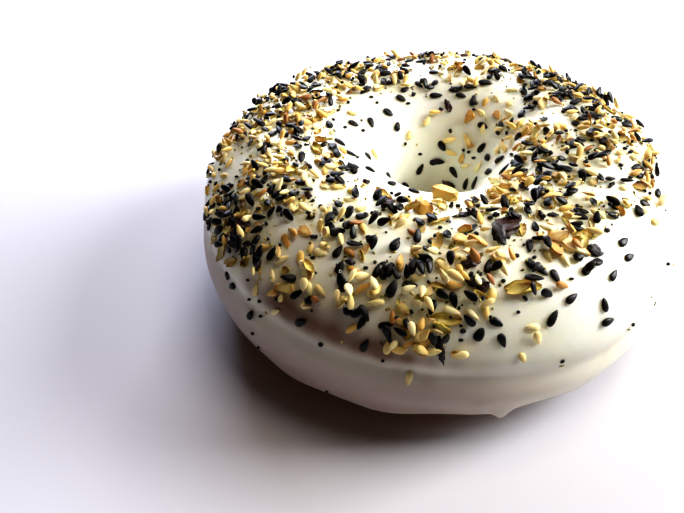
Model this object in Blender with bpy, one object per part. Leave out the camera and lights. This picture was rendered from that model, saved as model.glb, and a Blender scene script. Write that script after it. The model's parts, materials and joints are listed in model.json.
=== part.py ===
"""An iced ring doughnut, scattered with sesame, poppy, dried garlic and dried onion.

Metres, +Z up. The origin is under the middle of the ring, on the surface that the doughnut lies on.
Two solids: the fried dough, which stands on a flat ring, and the icing, a shell over its top, its
flank and the upper part of its hole. The largest toppings are fused to the icing.
"""

import math
import random

import bmesh
import bpy
from mathutils import Matrix, Vector
from mathutils.bvhtree import BVHTree

# ---------------------------------------------------------------- driving sizes

OUTER_RADIUS = 0.0550  # widest radius over the icing
HOLE_RADIUS = 0.0084  # narrowest radius of the hole, icing included
HEIGHT = 0.0391  # from the table to the top of the icing
BELLY_HEIGHT = 0.0171  # where the ring is widest
ICING_THICKNESS = 0.0017
ICING_GAP = 0.0004  # between the two solids, so that their facets never meet

ICING_COVER = ICING_THICKNESS + ICING_GAP
DOUGH_OUTER_RADIUS = OUTER_RADIUS - ICING_COVER
DOUGH_HOLE_RADIUS = HOLE_RADIUS + ICING_COVER
DOUGH_HEIGHT = HEIGHT - ICING_COVER
SUNK_BASE = 0.0011  # how much of the round underside is pressed flat by the dough's own weight

# How square the section is: 1 is an ellipse, less is boxier.
CROWN_SQUARENESS = 0.92
BASE_SQUARENESS = 1.00

# Hand-made unevenness, each as (waves round the ring, size, turn in degrees).
SWELL = ((3, 0.00020, 65.0), (4, 0.00035, -67.0), (5, 0.00040, 98.0))
RISE = ((1, 0.00025, -90.0), (2, 0.00080, 83.0), (5, 0.00025, 20.0))
HOLE_SWELL = ((2, 0.00045, 30.0), (3, 0.00030, 140.0))
# Where the ring bulges or is flattened, each as (ring angle, spread, size).
BULGES = ((204.0, 24.0, 0.00125), (150.0, 18.0, -0.00095))

# The crease round the flank where the two fried halves meet.
WAIST_DEPTH = 0.00130
WAIST_TUBE_DEG = 7.0
WAIST_SPREAD_DEG = 8.5
WAIST_SWAY = ((1, 7.0, 200.0), (3, 2.0, 40.0))  # size in degrees of tube angle

# The icing's two edges, as tube angles: 0 faces out, 90 up, 180 into the hole.
OUTER_LIP_DEG = -31.0
OUTER_LIP_SWAY = ((5, 0.8, 10.0), (8, 0.8, 75.0), (13, 0.8, 140.0))
INNER_LIP_DEG = 203.0
INNER_LIP_SWAY = ((3, 2.0, 80.0), (5, 1.2, 10.0))
LIP_BEAD = 0.00030  # extra thickness of the rolled bead at the edge
LIP_BEAD_WIDTH = 0.0030
SECTION_LENGTH = 0.0858  # round the icing's section from one edge to the other, about
DRIP_RING_DEG = -72.0  # one small run of icing below the edge
DRIP_SPREAD_DEG = 3.0
DRIP_TUBE_DEG = 4.0

# ---------------------------------------------------------------- toppings

# Where the seasoning lies: at each ring angle, the lowest and the highest tube angle that it
# reaches and how thick it lies, between 0 and 1. Values between two rows are blended.
STATIONS = (
    # ring, lowest, highest, cover
    (-180.0, 36.0, 108.0, 0.75),
    (-150.0, 28.0, 112.0, 1.00),
    (-120.0, 34.0, 108.0, 0.75),
    (-90.0, 26.0, 110.0, 1.00),
    (-60.0, 50.0, 112.0, 0.85),
    (-30.0, 58.0, 130.0, 1.00),
    (0.0, 50.0, 132.0, 0.85),
    (30.0, 42.0, 140.0, 0.55),
    (60.0, 40.0, 132.0, 0.60),
    (90.0, 40.0, 124.0, 0.65),
    (120.0, 36.0, 112.0, 0.80),
    (150.0, 34.0, 108.0, 0.90),
)
SEED_COUNT = 135
SEED_SIZE = (0.0029, 0.0018, 0.0011)  # length, width, thickness of a sesame seed
SEED_SPACING = 0.0037
SEED_SINK = 0.30  # share of its thickness that a topping sinks into the icing
SEED_POINT = 0.45  # how much narrower a seed is at its germ end
FLAKE_POINT = 0.30  # how much narrower a flake is at one end
SCATTER_SEED = 11

# The largest pieces, each as (ring, tube, turn in the surface, in degrees; length, width,
# thickness in millimetres).
FLAKES = (
    (-88.0, 118.0, 80.0, 5.6, 3.8, 2.2),
    (-97.0, 93.0, 60.0, 4.8, 3.4, 2.0),
    (-39.0, 66.0, 20.0, 5.6, 2.8, 1.8),
    (-60.0, 86.0, 40.0, 5.4, 3.8, 1.9),
    (-85.0, 27.0, 70.0, 4.8, 2.8, 1.7),
    (-143.0, 56.0, 30.0, 5.2, 3.4, 1.9),
    (-155.0, 32.0, 75.0, 5.8, 2.6, 1.6),
    (-125.0, 37.0, 10.0, 4.2, 2.8, 1.7),
    (-160.0, 96.0, 65.0, 5.4, 2.6, 1.7),
    (-26.0, 88.0, 15.0, 4.8, 2.8, 1.8),
    (-66.0, 75.0, 100.0, 4.6, 3.2, 1.7),
    (60.0, 135.0, 95.0, 5.2, 2.4, 1.8),
    (88.0, 98.0, 40.0, 4.8, 3.2, 1.8),
    (152.0, 84.0, 30.0, 4.6, 3.2, 1.7),
    (128.0, 92.0, 120.0, 4.4, 2.8, 1.6),
    (-10.0, 84.0, 50.0, 4.4, 2.4, 1.6),
    (20.0, 70.0, 75.0, 4.6, 2.8, 1.6),
    (48.0, 62.0, 20.0, 4.2, 3.0, 1.6),
    (105.0, 58.0, 100.0, 4.4, 2.8, 1.6),
    (172.0, 60.0, 55.0, 4.6, 2.8, 1.6),
)

# ---------------------------------------------------------------- mesh fineness

SLOPE_STEP = 0.01  # the step over which a slope is measured, in radians or in shares
RING_STEPS = 50
DOUGH_TUBE_STEPS = 24
# The icing's inner face follows these steps of the dough, so that the facets of both run alike.
ICING_INNER_STEPS = range(13, -2, -1)
EDGE_STEPS = (0.0, 0.004, 0.012, 0.030)  # shares of the icing's section, close together at a lip
ICING_MIDDLE_STEPS = 17
SEED_SIDES = 5
SEED_RINGS = 4

# ---------------------------------------------------------------- colours

DOUGH_COLOUR = (0.42, 0.19, 0.06, 1.0)
ICING_COLOUR = (0.86, 0.84, 0.78, 1.0)


def waves(ring, parts):
    """The sum of a few smooth waves at this ring angle, in radians."""
    return sum(size * math.cos(count * ring - math.radians(turn)) for count, size, turn in parts)


def bulges(ring, parts):
    """The sum of a few local bulges at this ring angle, in radians."""
    total = 0.0
    for centre, spread, size in parts:
        off = (1.0 - math.cos(ring - math.radians(centre))) * 2 / math.radians(spread) ** 2
        total += size * math.exp(-off)
    return total


def rounded(value, squareness):
    """value to the power of squareness, with its sign kept."""
    return math.copysign(abs(value) ** squareness, value)


def section_point(ring, tube):
    """(radius, height) of the dough's skin at a ring angle and a tube angle, in radians."""
    outer = DOUGH_OUTER_RADIUS + waves(ring, SWELL) + bulges(ring, BULGES)
    hole = DOUGH_HOLE_RADIUS + waves(ring, HOLE_SWELL)
    top = DOUGH_HEIGHT + waves(ring, RISE)
    waist = math.radians(WAIST_TUBE_DEG + waves(ring, WAIST_SWAY))
    groove = WAIST_DEPTH * math.exp(-(((tube - waist) / math.radians(WAIST_SPREAD_DEG)) ** 2))
    half_width = (outer - hole) / 2
    across, up = math.cos(tube), math.sin(tube)
    radius = (outer + hole) / 2 + half_width * rounded(across, CROWN_SQUARENESS) - groove
    if up > 0:
        height = BELLY_HEIGHT + (top - BELLY_HEIGHT) * rounded(up, CROWN_SQUARENESS)
    else:
        height = BELLY_HEIGHT + (BELLY_HEIGHT + SUNK_BASE) * rounded(up, BASE_SQUARENESS)
    return Vector((radius, max(height, 0.0)))


def section_normal(ring, tube):
    """The direction out of the dough in its section's plane, as (outwards, up)."""
    along = section_point(ring, tube + SLOPE_STEP) - section_point(ring, tube - SLOPE_STEP)
    return Vector((along.y, -along.x)).normalized()


def skin_point(ring, tube, lift):
    """The point at this height above the dough's skin, in the part's frame."""
    radius, height = section_point(ring, tube) + section_normal(ring, tube) * lift
    return Vector((radius * math.cos(ring), radius * math.sin(ring), height))


def lip_angles(ring):
    """The tube angles of the icing's outer and inner edge at this ring angle."""
    off_drip = math.remainder(ring - math.radians(DRIP_RING_DEG), math.tau)
    drip = DRIP_TUBE_DEG * math.exp(-((off_drip / math.radians(DRIP_SPREAD_DEG)) ** 2))
    outer = OUTER_LIP_DEG + waves(ring, OUTER_LIP_SWAY) - drip
    inner = INNER_LIP_DEG + waves(ring, INNER_LIP_SWAY)
    return math.radians(outer), math.radians(inner)


def icing_lift(share):
    """Height of the icing's face above the dough at a share of its section, from lip to lip."""
    from_edge = min(share, 1.0 - share) * SECTION_LENGTH
    reach = min(from_edge / ICING_THICKNESS, 1.0)
    round_edge = math.sqrt(1.0 - (1.0 - reach) ** 2)
    bead = LIP_BEAD * math.exp(-((from_edge / LIP_BEAD_WIDTH) ** 2))
    return ICING_GAP + (ICING_THICKNESS + bead) * round_edge


def icing_point(ring, share):
    """A point of the icing's outer face, at a share of its section from the outer lip."""
    outer, inner = lip_angles(ring)
    tube = outer + (inner - outer) * share
    return skin_point(ring, tube, icing_lift(share))


def material(name, colour, roughness):
    """A plain Principled material."""
    made = bpy.data.materials.new(name)
    made.use_nodes = True
    shader = made.node_tree.nodes["Principled BSDF"]
    shader.inputs["Base Color"].default_value = colour
    shader.inputs["Roughness"].default_value = roughness
    return made


def ring_mesh(name, tube_steps, point_at, finish, collection):
    """A torus primitive whose points are set by point_at(ring angle, step round the tube)."""
    bpy.ops.mesh.primitive_torus_add(major_segments=RING_STEPS, minor_segments=tube_steps)
    made = bpy.context.object
    made.name = name
    made.data.name = name
    for index, vertex in enumerate(made.data.vertices):
        turn, step = divmod(index, tube_steps)
        vertex.co = point_at(2 * math.pi * turn / RING_STEPS, step)
    made.data.materials.append(finish)
    made.data.shade_smooth()
    for owner in list(made.users_collection):
        owner.objects.unlink(made)
    collection.objects.link(made)
    return made


def make_dough(collection):
    """The fried ring: round above, pressed flat where it stands."""
    finish = material("fried_dough", DOUGH_COLOUR, 0.6)

    def point_at(ring, step):
        return skin_point(ring, 2 * math.pi * step / DOUGH_TUBE_STEPS, 0.0)

    return ring_mesh("dough", DOUGH_TUBE_STEPS, point_at, finish, collection)


def make_icing(collection):
    """The icing's shell: its section runs over the outer face, and back along the dough."""
    finish = material("white_icing", ICING_COLOUR, 0.35)
    first, last = EDGE_STEPS[-1], 1.0 - EDGE_STEPS[-1]
    middle = [
        first + (last - first) * (step + 1) / (ICING_MIDDLE_STEPS + 1)
        for step in range(ICING_MIDDLE_STEPS)
    ]
    over = [*EDGE_STEPS, *middle, *(1.0 - share for share in reversed(EDGE_STEPS))]

    def point_at(ring, step):
        if step < len(over):
            return icing_point(ring, over[step])
        tube = 2 * math.pi * ICING_INNER_STEPS[step - len(over)] / DOUGH_TUBE_STEPS
        return skin_point(ring, tube, ICING_GAP)

    tube_steps = len(over) + len(ICING_INNER_STEPS)
    return ring_mesh("icing", tube_steps, point_at, finish, collection)


def surface_axes(ring, tube):
    """The icing's round form at these angles: its point, and the axes along, across and out."""
    outer, inner = lip_angles(ring)
    share = (tube - outer) / (inner - outer)
    point = icing_point(ring, share)
    along = icing_point(ring + SLOPE_STEP, share) - icing_point(ring - SLOPE_STEP, share)
    across = icing_point(ring, share + SLOPE_STEP) - icing_point(ring, share - SLOPE_STEP)
    out = along.cross(across).normalized()
    along.normalize()
    return point, along, out.cross(along), out


def station_at(ring_deg):
    """(lowest tube angle, highest tube angle, cover) of the toppings, blended between stations."""
    gap = 360.0 / len(STATIONS)
    place = ((ring_deg + 180.0) % 360.0) / gap
    index = int(place)
    share = place - index
    here, after = STATIONS[index % len(STATIONS)], STATIONS[(index + 1) % len(STATIONS)]
    return [a + (b - a) * share for a, b in zip(here[1:], after[1:])]


def topping(name, facets, ring, tube, turn, size, point_share, collection):
    """One low-sided seed or flake, sunk a little into the icing's facets, turned about their normal."""
    point, along, across, out = surface_axes(ring, tube)
    above = point + out * SEED_SIZE[0]
    point = facets.ray_cast(above, -out)[0]
    mesh = bpy.data.meshes.new(name)
    shape = bmesh.new()
    bmesh.ops.create_uvsphere(shape, u_segments=SEED_SIDES, v_segments=SEED_RINGS, radius=0.5)
    for vertex in shape.verts:
        x, y, z = vertex.co.z, vertex.co.y, vertex.co.x
        narrow = 1.0 - point_share * (x + 0.5)
        vertex.co = Vector((x * size[0], y * size[1] * narrow, z * size[2] * narrow))
    bmesh.ops.recalc_face_normals(shape, faces=shape.faces)
    axes = Matrix((along, across, out)).transposed().to_4x4()
    centre = point + out * size[2] * (0.5 - SEED_SINK)
    shape.transform(Matrix.Translation(centre) @ axes @ Matrix.Rotation(turn, 4, "Z"))
    shape.to_mesh(mesh)
    shape.free()
    made = bpy.data.objects.new(name, mesh)
    collection.objects.link(made)
    return centre


def scatter_toppings(icing, collection):
    """The flakes first, then seeds spread evenly over the part that the seasoning covers."""
    facets = BVHTree.FromPolygons(
        [vertex.co for vertex in icing.data.vertices],
        [face.vertices for face in icing.data.polygons],
    )
    taken = []
    for index, (ring, tube, turn, *size) in enumerate(FLAKES):
        angles = [math.radians(value) for value in (ring, tube, turn)]
        metres = [value / 1000 for value in size]
        centre = topping(f"flake_{index}", facets, *angles, metres, FLAKE_POINT, collection)
        taken.append((centre, metres[0]))
    draw = random.Random(SCATTER_SEED)
    placed = 0
    while placed < SEED_COUNT:
        ring_deg = draw.uniform(-180.0, 180.0)
        lowest, highest, cover = station_at(ring_deg)
        tube_deg = draw.uniform(lowest, highest)
        turn = draw.uniform(0.0, math.pi)
        keep = draw.random()
        ring, tube = math.radians(ring_deg), math.radians(tube_deg)
        point = surface_axes(ring, tube)[0]
        reach = math.hypot(point.x, point.y) / OUTER_RADIUS
        if keep > cover * reach:
            continue
        if any((point - other).length < (SEED_SPACING + room) / 2 for other, room in taken):
            continue
        name = f"seed_{placed}"
        centre = topping(name, facets, ring, tube, turn, SEED_SIZE, SEED_POINT, collection)
        taken.append((centre, SEED_SPACING))
        placed += 1


def fuse(body, collection):
    """One Boolean union of the body with everything in a collection, which is then removed."""
    union = body.modifiers.new("toppings", "BOOLEAN")
    union.operation = "UNION"
    union.operand_type = "COLLECTION"
    union.solver = "EXACT"
    union.collection = collection
    bpy.context.view_layer.objects.active = body
    bpy.ops.object.modifier_apply(modifier=union.name)
    for item in list(collection.objects):
        bpy.data.objects.remove(item)
    bpy.data.collections.remove(collection)


def centre_on_origin(objects):
    """Moves the meshes together so that the middle of the whole's box is over the origin."""
    points = [vertex.co for item in objects for vertex in item.data.vertices]
    middle = [(min(p[axis] for p in points) + max(p[axis] for p in points)) / 2 for axis in (0, 1)]
    for item in objects:
        item.data.transform(Matrix.Translation((-middle[0], -middle[1], 0.0)))


def main():
    for item in list(bpy.data.objects):
        bpy.data.objects.remove(item)
    parts = bpy.data.collections.new("doughnut")
    seasoning = bpy.data.collections.new("seasoning")
    for collection in (parts, seasoning):
        bpy.context.scene.collection.children.link(collection)
    dough = make_dough(parts)
    icing = make_icing(parts)
    scatter_toppings(icing, seasoning)
    fuse(icing, seasoning)
    centre_on_origin([dough, icing])


main()
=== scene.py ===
# %% [markdown]
# # An iced ring doughnut with mixed seasoning
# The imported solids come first, as a fixed frame. Everything below is built in that frame, in
# metres, with +Z up and the doughnut lying on z = 0.

# %% Load the frame
import json
import math

import bmesh
import bpy
import numpy as np
from mathutils import Matrix, Vector, noise
from mathutils.bvhtree import BVHTree

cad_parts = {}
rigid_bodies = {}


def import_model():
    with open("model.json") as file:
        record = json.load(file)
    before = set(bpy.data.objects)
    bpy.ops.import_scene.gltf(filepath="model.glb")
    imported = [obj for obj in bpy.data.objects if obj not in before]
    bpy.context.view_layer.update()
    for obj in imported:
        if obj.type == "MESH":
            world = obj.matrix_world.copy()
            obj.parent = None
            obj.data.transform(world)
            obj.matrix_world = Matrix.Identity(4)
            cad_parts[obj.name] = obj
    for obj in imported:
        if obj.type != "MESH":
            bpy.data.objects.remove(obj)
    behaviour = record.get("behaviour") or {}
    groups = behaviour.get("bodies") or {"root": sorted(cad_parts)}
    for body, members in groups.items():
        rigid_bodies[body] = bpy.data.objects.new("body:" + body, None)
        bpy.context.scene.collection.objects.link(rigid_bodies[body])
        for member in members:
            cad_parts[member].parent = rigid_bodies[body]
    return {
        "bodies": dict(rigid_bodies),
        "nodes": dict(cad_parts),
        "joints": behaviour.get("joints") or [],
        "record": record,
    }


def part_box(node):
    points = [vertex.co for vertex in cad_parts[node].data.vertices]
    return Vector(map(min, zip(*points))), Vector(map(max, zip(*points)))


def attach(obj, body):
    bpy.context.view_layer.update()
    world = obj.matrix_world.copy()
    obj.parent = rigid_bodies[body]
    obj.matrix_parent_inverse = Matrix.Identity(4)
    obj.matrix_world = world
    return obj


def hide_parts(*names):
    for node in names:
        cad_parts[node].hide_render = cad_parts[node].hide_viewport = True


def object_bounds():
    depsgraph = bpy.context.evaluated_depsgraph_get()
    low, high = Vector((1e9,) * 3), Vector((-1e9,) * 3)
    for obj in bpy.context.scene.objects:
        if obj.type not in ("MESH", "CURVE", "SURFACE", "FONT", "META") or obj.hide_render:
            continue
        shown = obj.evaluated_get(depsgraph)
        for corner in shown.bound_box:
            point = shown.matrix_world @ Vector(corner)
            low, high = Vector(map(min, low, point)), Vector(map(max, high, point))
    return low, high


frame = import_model()
cad_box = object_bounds()
MM = 0.001
print("solids:", sorted(frame["nodes"]), "box", [[round(v, 4) for v in corner] for corner in cad_box])

# %% [markdown]
# ## The camera
# The camera stands close to the doughnut, about 16 cm away and 38 degrees above the board, so the
# near side looks larger than the far side. Its place, the point it looks at and its small roll
# fix the view. It is made first, because some seeds are put where they fall in the picture.

# %% Camera
PICTURE_WIDTH, PICTURE_HEIGHT = 684, 513
FOCAL_PIXELS = 650.0
SENSOR_WIDTH = 36.0
CAMERA_PLACE = Vector((0.0, -0.1260, 0.1172))
CAMERA_AIM = Vector((-0.0180, -0.0220, 0.0195))
CAMERA_ROLL_DEG = -1.48

back = (CAMERA_PLACE - CAMERA_AIM).normalized()
right = Vector((0, 0, 1)).cross(back).normalized()
level = Matrix((right, back.cross(right), back)).transposed()
turned = level @ Matrix.Rotation(math.radians(CAMERA_ROLL_DEG), 3, "Z")
lens = bpy.data.cameras.new("camera")
lens.sensor_width = SENSOR_WIDTH
lens.lens = SENSOR_WIDTH * FOCAL_PIXELS / PICTURE_WIDTH
lens.clip_start = 0.01
camera = bpy.data.objects.new("camera", lens)
camera.matrix_world = Matrix.Translation(CAMERA_PLACE) @ turned.to_4x4()
bpy.context.scene.collection.objects.link(camera)
bpy.context.scene.camera = camera
print("lens", round(lens.lens, 2), "mm,", round((CAMERA_PLACE - CAMERA_AIM).length, 3), "m from its aim")

# %% [markdown]
# ## The form of the dough
# A ring doughnut is a torus that has been proofed, fried on both sides and set down. Its section is
# a little boxier than an ellipse, its underside is pressed flat, and a crease runs round the
# flank where the two fried halves meet. One function gives the skin at a ring angle (0 is +X) and a
# tube angle (0 faces out, 90 up, 180 into the hole). It takes arrays, so a whole mesh is one call.

# %% Sizes and the dough's skin
OUTER_RADIUS = 0.0550
HOLE_RADIUS = 0.0084
HEIGHT = 0.0391  # of the bare icing
BELLY_HEIGHT = 0.0171  # where the ring is widest
ICING_THICKNESS = 0.0017
ICING_GAP = 0.0004
ICING_COVER = ICING_THICKNESS + ICING_GAP
SUNK_BASE = 0.0011  # how far the round underside would reach below the board, had it not been pressed flat
CROWN_SQUARENESS = 0.92  # 1 is an ellipse, less is boxier
BASE_SQUARENESS = 1.00
# Unevenness, each as (waves round the ring, size, turn in degrees).
SWELL = ((3, 0.00020, 65.0), (4, 0.00035, -67.0), (5, 0.00040, 98.0))
RISE = ((1, 0.00025, -90.0), (2, 0.00080, 83.0), (5, 0.00025, 20.0))
HOLE_SWELL = ((2, 0.00045, 30.0), (3, 0.00030, 140.0))
# Where the ring bulges or is flattened, each as (ring angle, spread, size).
BULGES = ((204.0, 24.0, 0.00125), (150.0, 18.0, -0.00095))
WAIST_DEPTH = 0.00130  # of the crease
WAIST_TUBE_DEG = 7.0
WAIST_SPREAD_DEG = 8.5
WAIST_SWAY = ((1, 7.0, 200.0), (3, 2.0, 40.0))


def waves(ring, parts):
    """The sum of a few smooth waves at these ring angles, in radians."""
    return sum(size * np.cos(count * ring - math.radians(turn)) for count, size, turn in parts)


def bulges(ring, parts):
    """The sum of a few local bulges at these ring angles, in radians."""
    total = 0.0
    for centre, spread, size in parts:
        off = (1.0 - np.cos(ring - math.radians(centre))) * 2 / math.radians(spread) ** 2
        total = total + size * np.exp(-off)
    return total


def rounded(value, squareness):
    """value to the power of squareness, with its sign kept."""
    return np.copysign(np.abs(value) ** squareness, value)


def section_points(ring, tube):
    """(radius, height) of the dough's skin at ring and tube angles, in radians."""
    outer = OUTER_RADIUS - ICING_COVER + waves(ring, SWELL) + bulges(ring, BULGES)
    hole = HOLE_RADIUS + ICING_COVER + waves(ring, HOLE_SWELL)
    top = HEIGHT - ICING_COVER + waves(ring, RISE)
    waist = np.radians(WAIST_TUBE_DEG + waves(ring, WAIST_SWAY))
    groove = WAIST_DEPTH * np.exp(-(((tube - waist) / math.radians(WAIST_SPREAD_DEG)) ** 2))
    across, up = np.cos(tube), np.sin(tube)
    radius = (outer + hole) / 2 + (outer - hole) / 2 * rounded(across, CROWN_SQUARENESS) - groove
    above = BELLY_HEIGHT + (top - BELLY_HEIGHT) * rounded(up, CROWN_SQUARENESS)
    below = BELLY_HEIGHT + (BELLY_HEIGHT + SUNK_BASE) * rounded(up, BASE_SQUARENESS)
    return radius, np.maximum(np.where(up > 0, above, below), 0.0)


SLOPE_STEP = 0.01  # radians


def skin_points(ring, tube, lift):
    """Points at a height above the dough's skin, as an array of x, y, z."""
    radius, height = section_points(ring, tube)
    after, before = section_points(ring, tube + SLOPE_STEP), section_points(ring, tube - SLOPE_STEP)
    along_r, along_z = after[0] - before[0], after[1] - before[1]
    length = np.hypot(along_r, along_z)
    radius = radius + along_z / length * lift
    height = height - along_r / length * lift
    points = np.stack([radius * np.cos(ring), radius * np.sin(ring), height], axis=-1)
    return points + SHIFT


# The solids are centred on their box, so the same formulas are slid to share its middle.
SHIFT = np.zeros(3)
trial = skin_points(np.linspace(0, 2 * math.pi, 720), 0.0, 0.0)
low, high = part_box("dough")
for axis in (0, 1):
    SHIFT[axis] = (low[axis] + high[axis]) / 2 - (trial[:, axis].min() + trial[:, axis].max()) / 2
print("slid by", np.round(SHIFT * 1000, 2), "mm")

# %% [markdown]
# ## One helper for ring-shaped meshes
# A closed surface that runs round the ring is a grid: rows go round the ring and columns round the
# section, and both wrap. It could be a torus with its points moved. Filling the grid straight from
# arrays says the same thing in fewer steps, and lets each point carry a value that a material reads.

# %% Grid helper


def add_mesh(name, points, faces, values=None):
    """A mesh object from points and faces, with named numbers on its points."""
    mesh = bpy.data.meshes.new(name)
    mesh.from_pydata(points, [], faces)
    for key, numbers in (values or {}).items():
        mesh.attributes.new(key, "FLOAT", "POINT").data.foreach_set("value", numbers)
    mesh.shade_smooth()
    made = bpy.data.objects.new(name, mesh)
    bpy.context.scene.collection.objects.link(made)
    return made


def grid_faces(rows, columns):
    """Quads of a grid that wraps both ways, wound so that they face out of the ring."""
    row, column = np.meshgrid(np.arange(rows), np.arange(columns), indexing="ij")
    after_row, after_column = (row + 1) % rows, (column + 1) % columns
    corners = [(row, column), (after_row, column), (after_row, after_column), (row, after_column)]
    return np.stack([(a * columns + b).ravel() for a, b in corners], axis=-1).tolist()

# %% [markdown]
# ## The icing
# Poured icing runs over the dough as a skin under 2 mm thick and stops in a rolled, wavy edge near
# the board, with one small run below it. It could be the dough's shape with a Solidify modifier, but
# then the edge would be cut square. Here the skin's thickness is a function of the distance to its
# edge: a round nose, then a narrow bead, then a wide soft swelling.

# %% Icing form
OUTER_LIP_DEG = -31.0
OUTER_LIP_SWAY = ((5, 0.8, 10.0), (8, 0.8, 75.0), (13, 0.8, 140.0), (23, 0.35, 60.0), (37, 0.25, 200.0))
INNER_LIP_DEG = 203.0
INNER_LIP_SWAY = ((3, 2.0, 80.0), (5, 1.2, 10.0))
SECTION_LENGTH = 0.0858
RIM_BEAD, RIM_BEAD_WIDTH = 0.00030, 0.0008
LIP_BEAD, LIP_BEAD_WIDTH = 0.00020, 0.0030
LIP_RIPPLE = ((16, 0.00035, 260.0), (7, 0.00012, 30.0))  # waves of the bead's thickness
DRIP_RING_DEG, DRIP_SPREAD_DEG, DRIP_TUBE_DEG = -71.0, 1.7, 5.0
DRIP_BEAD, DRIP_BEAD_LENGTH = 0.0013, 0.0046  # the drop at the end of the run


def drip_share(ring):
    """1 in the middle of the run, falling to 0 beside it."""
    off = (ring - math.radians(DRIP_RING_DEG) + math.pi) % (2 * math.pi) - math.pi
    return np.exp(-((off / math.radians(DRIP_SPREAD_DEG)) ** 2))


def lip_angles(ring):
    """The tube angles of the icing's outer and inner edge."""
    outer = OUTER_LIP_DEG + waves(ring, OUTER_LIP_SWAY) - DRIP_TUBE_DEG * drip_share(ring)
    return np.radians(outer), np.radians(INNER_LIP_DEG + waves(ring, INNER_LIP_SWAY))


def icing_lift(ring, share):
    """Height of the icing's face above the dough, at a share of its section from lip to lip."""
    from_edge = np.minimum(share, 1.0 - share) * SECTION_LENGTH
    reach = np.minimum(from_edge / ICING_THICKNESS, 1.0)
    nose = np.sqrt(1.0 - (1.0 - reach) ** 2)
    bead = (LIP_BEAD + waves(ring, LIP_RIPPLE)) * np.exp(-((from_edge / LIP_BEAD_WIDTH) ** 2))
    rim = RIM_BEAD * np.exp(-((from_edge / RIM_BEAD_WIDTH) ** 2))
    drop = DRIP_BEAD * drip_share(ring) * np.exp(-((share * SECTION_LENGTH / DRIP_BEAD_LENGTH) ** 2))
    return ICING_GAP + (ICING_THICKNESS + bead + rim + drop) * nose


def icing_points(ring, tube, lift=0.0):
    """Points on the icing's face, or at a height above it."""
    outer, inner = lip_angles(ring)
    share = np.clip((tube - outer) / (inner - outer), 0.0, 1.0)
    return skin_points(ring, tube, icing_lift(ring, share) + lift)

# %% [markdown]
# ## The icing as a mesh
# The real icing is a skin under 2 mm thick that was poured and then set. A Solidify modifier could
# thicken one face of it. Here the grid runs over the outer face and back along the inner one, so that
# both edges are rounded by the same formula, and the points lie closest together there. A slow noise
# gives the face the slight waves of something that flowed.

# %% Icing mesh
ICING_ROWS = 400
EDGE_SHARE = 0.05  # of the section, which gets closer columns
edge = np.linspace(0.0, 1.0, 16) ** 1.6 * EDGE_SHARE
OVER = np.concatenate([edge, np.linspace(EDGE_SHARE, 1 - EDGE_SHARE, 150)[1:-1], 1.0 - edge[::-1]])
BACK = np.linspace(1.0, 0.0, 28)[1:-1]
SAG_SIZE, SAG_REACH = 0.00016, 0.011  # slow unevenness of the poured skin

ring = np.linspace(0.0, 2 * math.pi, ICING_ROWS, endpoint=False)[:, None]
outer_lip, inner_lip = lip_angles(ring)
tube_over = outer_lip + (inner_lip - outer_lip) * OVER
face = skin_points(ring, tube_over, icing_lift(ring, OVER))
sag = np.array([noise.noise(Vector(p) / SAG_REACH) for p in face.reshape(-1, 3)]).reshape(face.shape[:2])
sag *= SAG_SIZE * np.minimum(OVER, 1 - OVER) / 0.5  # none at the edges, which already have their shape
face = skin_points(ring, tube_over, icing_lift(ring, OVER) + sag)
under = skin_points(ring, outer_lip + (inner_lip - outer_lip) * BACK, ICING_GAP)
points = np.concatenate([face, under], axis=1)
icing = add_mesh("poured_icing", points.reshape(-1, 3), grid_faces(*points.shape[:2]))
icing_tree = BVHTree.FromPolygons(points.reshape(-1, 3).tolist(), grid_faces(*points.shape[:2]))
print("icing:", len(icing.data.polygons), "quads, down to", round(points[..., 2].min() * 1000, 2), "mm")

# %% [markdown]
# ## The dough
# The fried ring is browned and finely wrinkled where the fat reached it. Only a band under the icing's
# edge, the underside and the lower hole can be seen. Sculpting would make wrinkles too, but noise in
# the mesh does it everywhere at once, and is faded out under the icing so that the crust never pokes
# through it.

# %% Dough mesh
DOUGH_ROWS, DOUGH_COLUMNS = 300, 130
WRINKLE_SIZE, WRINKLE_REACH = 0.00022, 0.0035
WRINKLE_NOISE = (0.8, 2.1, 3, 1.0, 2.0)  # exponent, lacunarity, octaves, offset and gain
WRINKLE_FADE_DEG = 6.0  # of tube angle, over which the wrinkles fade out under the icing

ring = np.linspace(0.0, 2 * math.pi, DOUGH_ROWS, endpoint=False)[:, None]
tube = np.linspace(0.0, 2 * math.pi, DOUGH_COLUMNS, endpoint=False)[None, :]
crust = skin_points(ring, tube, 0.0)
outer_lip, inner_lip = lip_angles(ring)
signed = np.where(tube > math.pi * 1.5, tube - 2 * math.pi, tube)
under_icing = np.minimum(signed - outer_lip, inner_lip - signed)
covered = np.clip(under_icing / math.radians(WRINKLE_FADE_DEG), 0.0, 1.0)
wrinkle = np.array([noise.ridged_multi_fractal(Vector(p) / WRINKLE_REACH, *WRINKLE_NOISE)
                    for p in crust.reshape(-1, 3)]).reshape(crust.shape[:2])
wrinkle = (wrinkle - wrinkle.mean()) * WRINKLE_SIZE * (1.0 - covered)
crust = skin_points(ring, tube, wrinkle)
crust[..., 2] = np.maximum(crust[..., 2], 0.0)
dough = add_mesh("fried_dough", crust.reshape(-1, 3), grid_faces(*crust.shape[:2]))
print("dough:", len(dough.data.polygons), "quads")

# %% [markdown]
# ## Where the seasoning lies
# Real seasoning is shaken on by hand, so it lies in a broad ring with thick drifts and bare spots.
# A particle system could scatter it, but could not keep each seed at rest on its neighbours. Here a map
# of heights over the icing is kept, and each piece is lowered on what already lies there, tilted
# to match it, and then added to the map. Large pieces come first.

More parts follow.
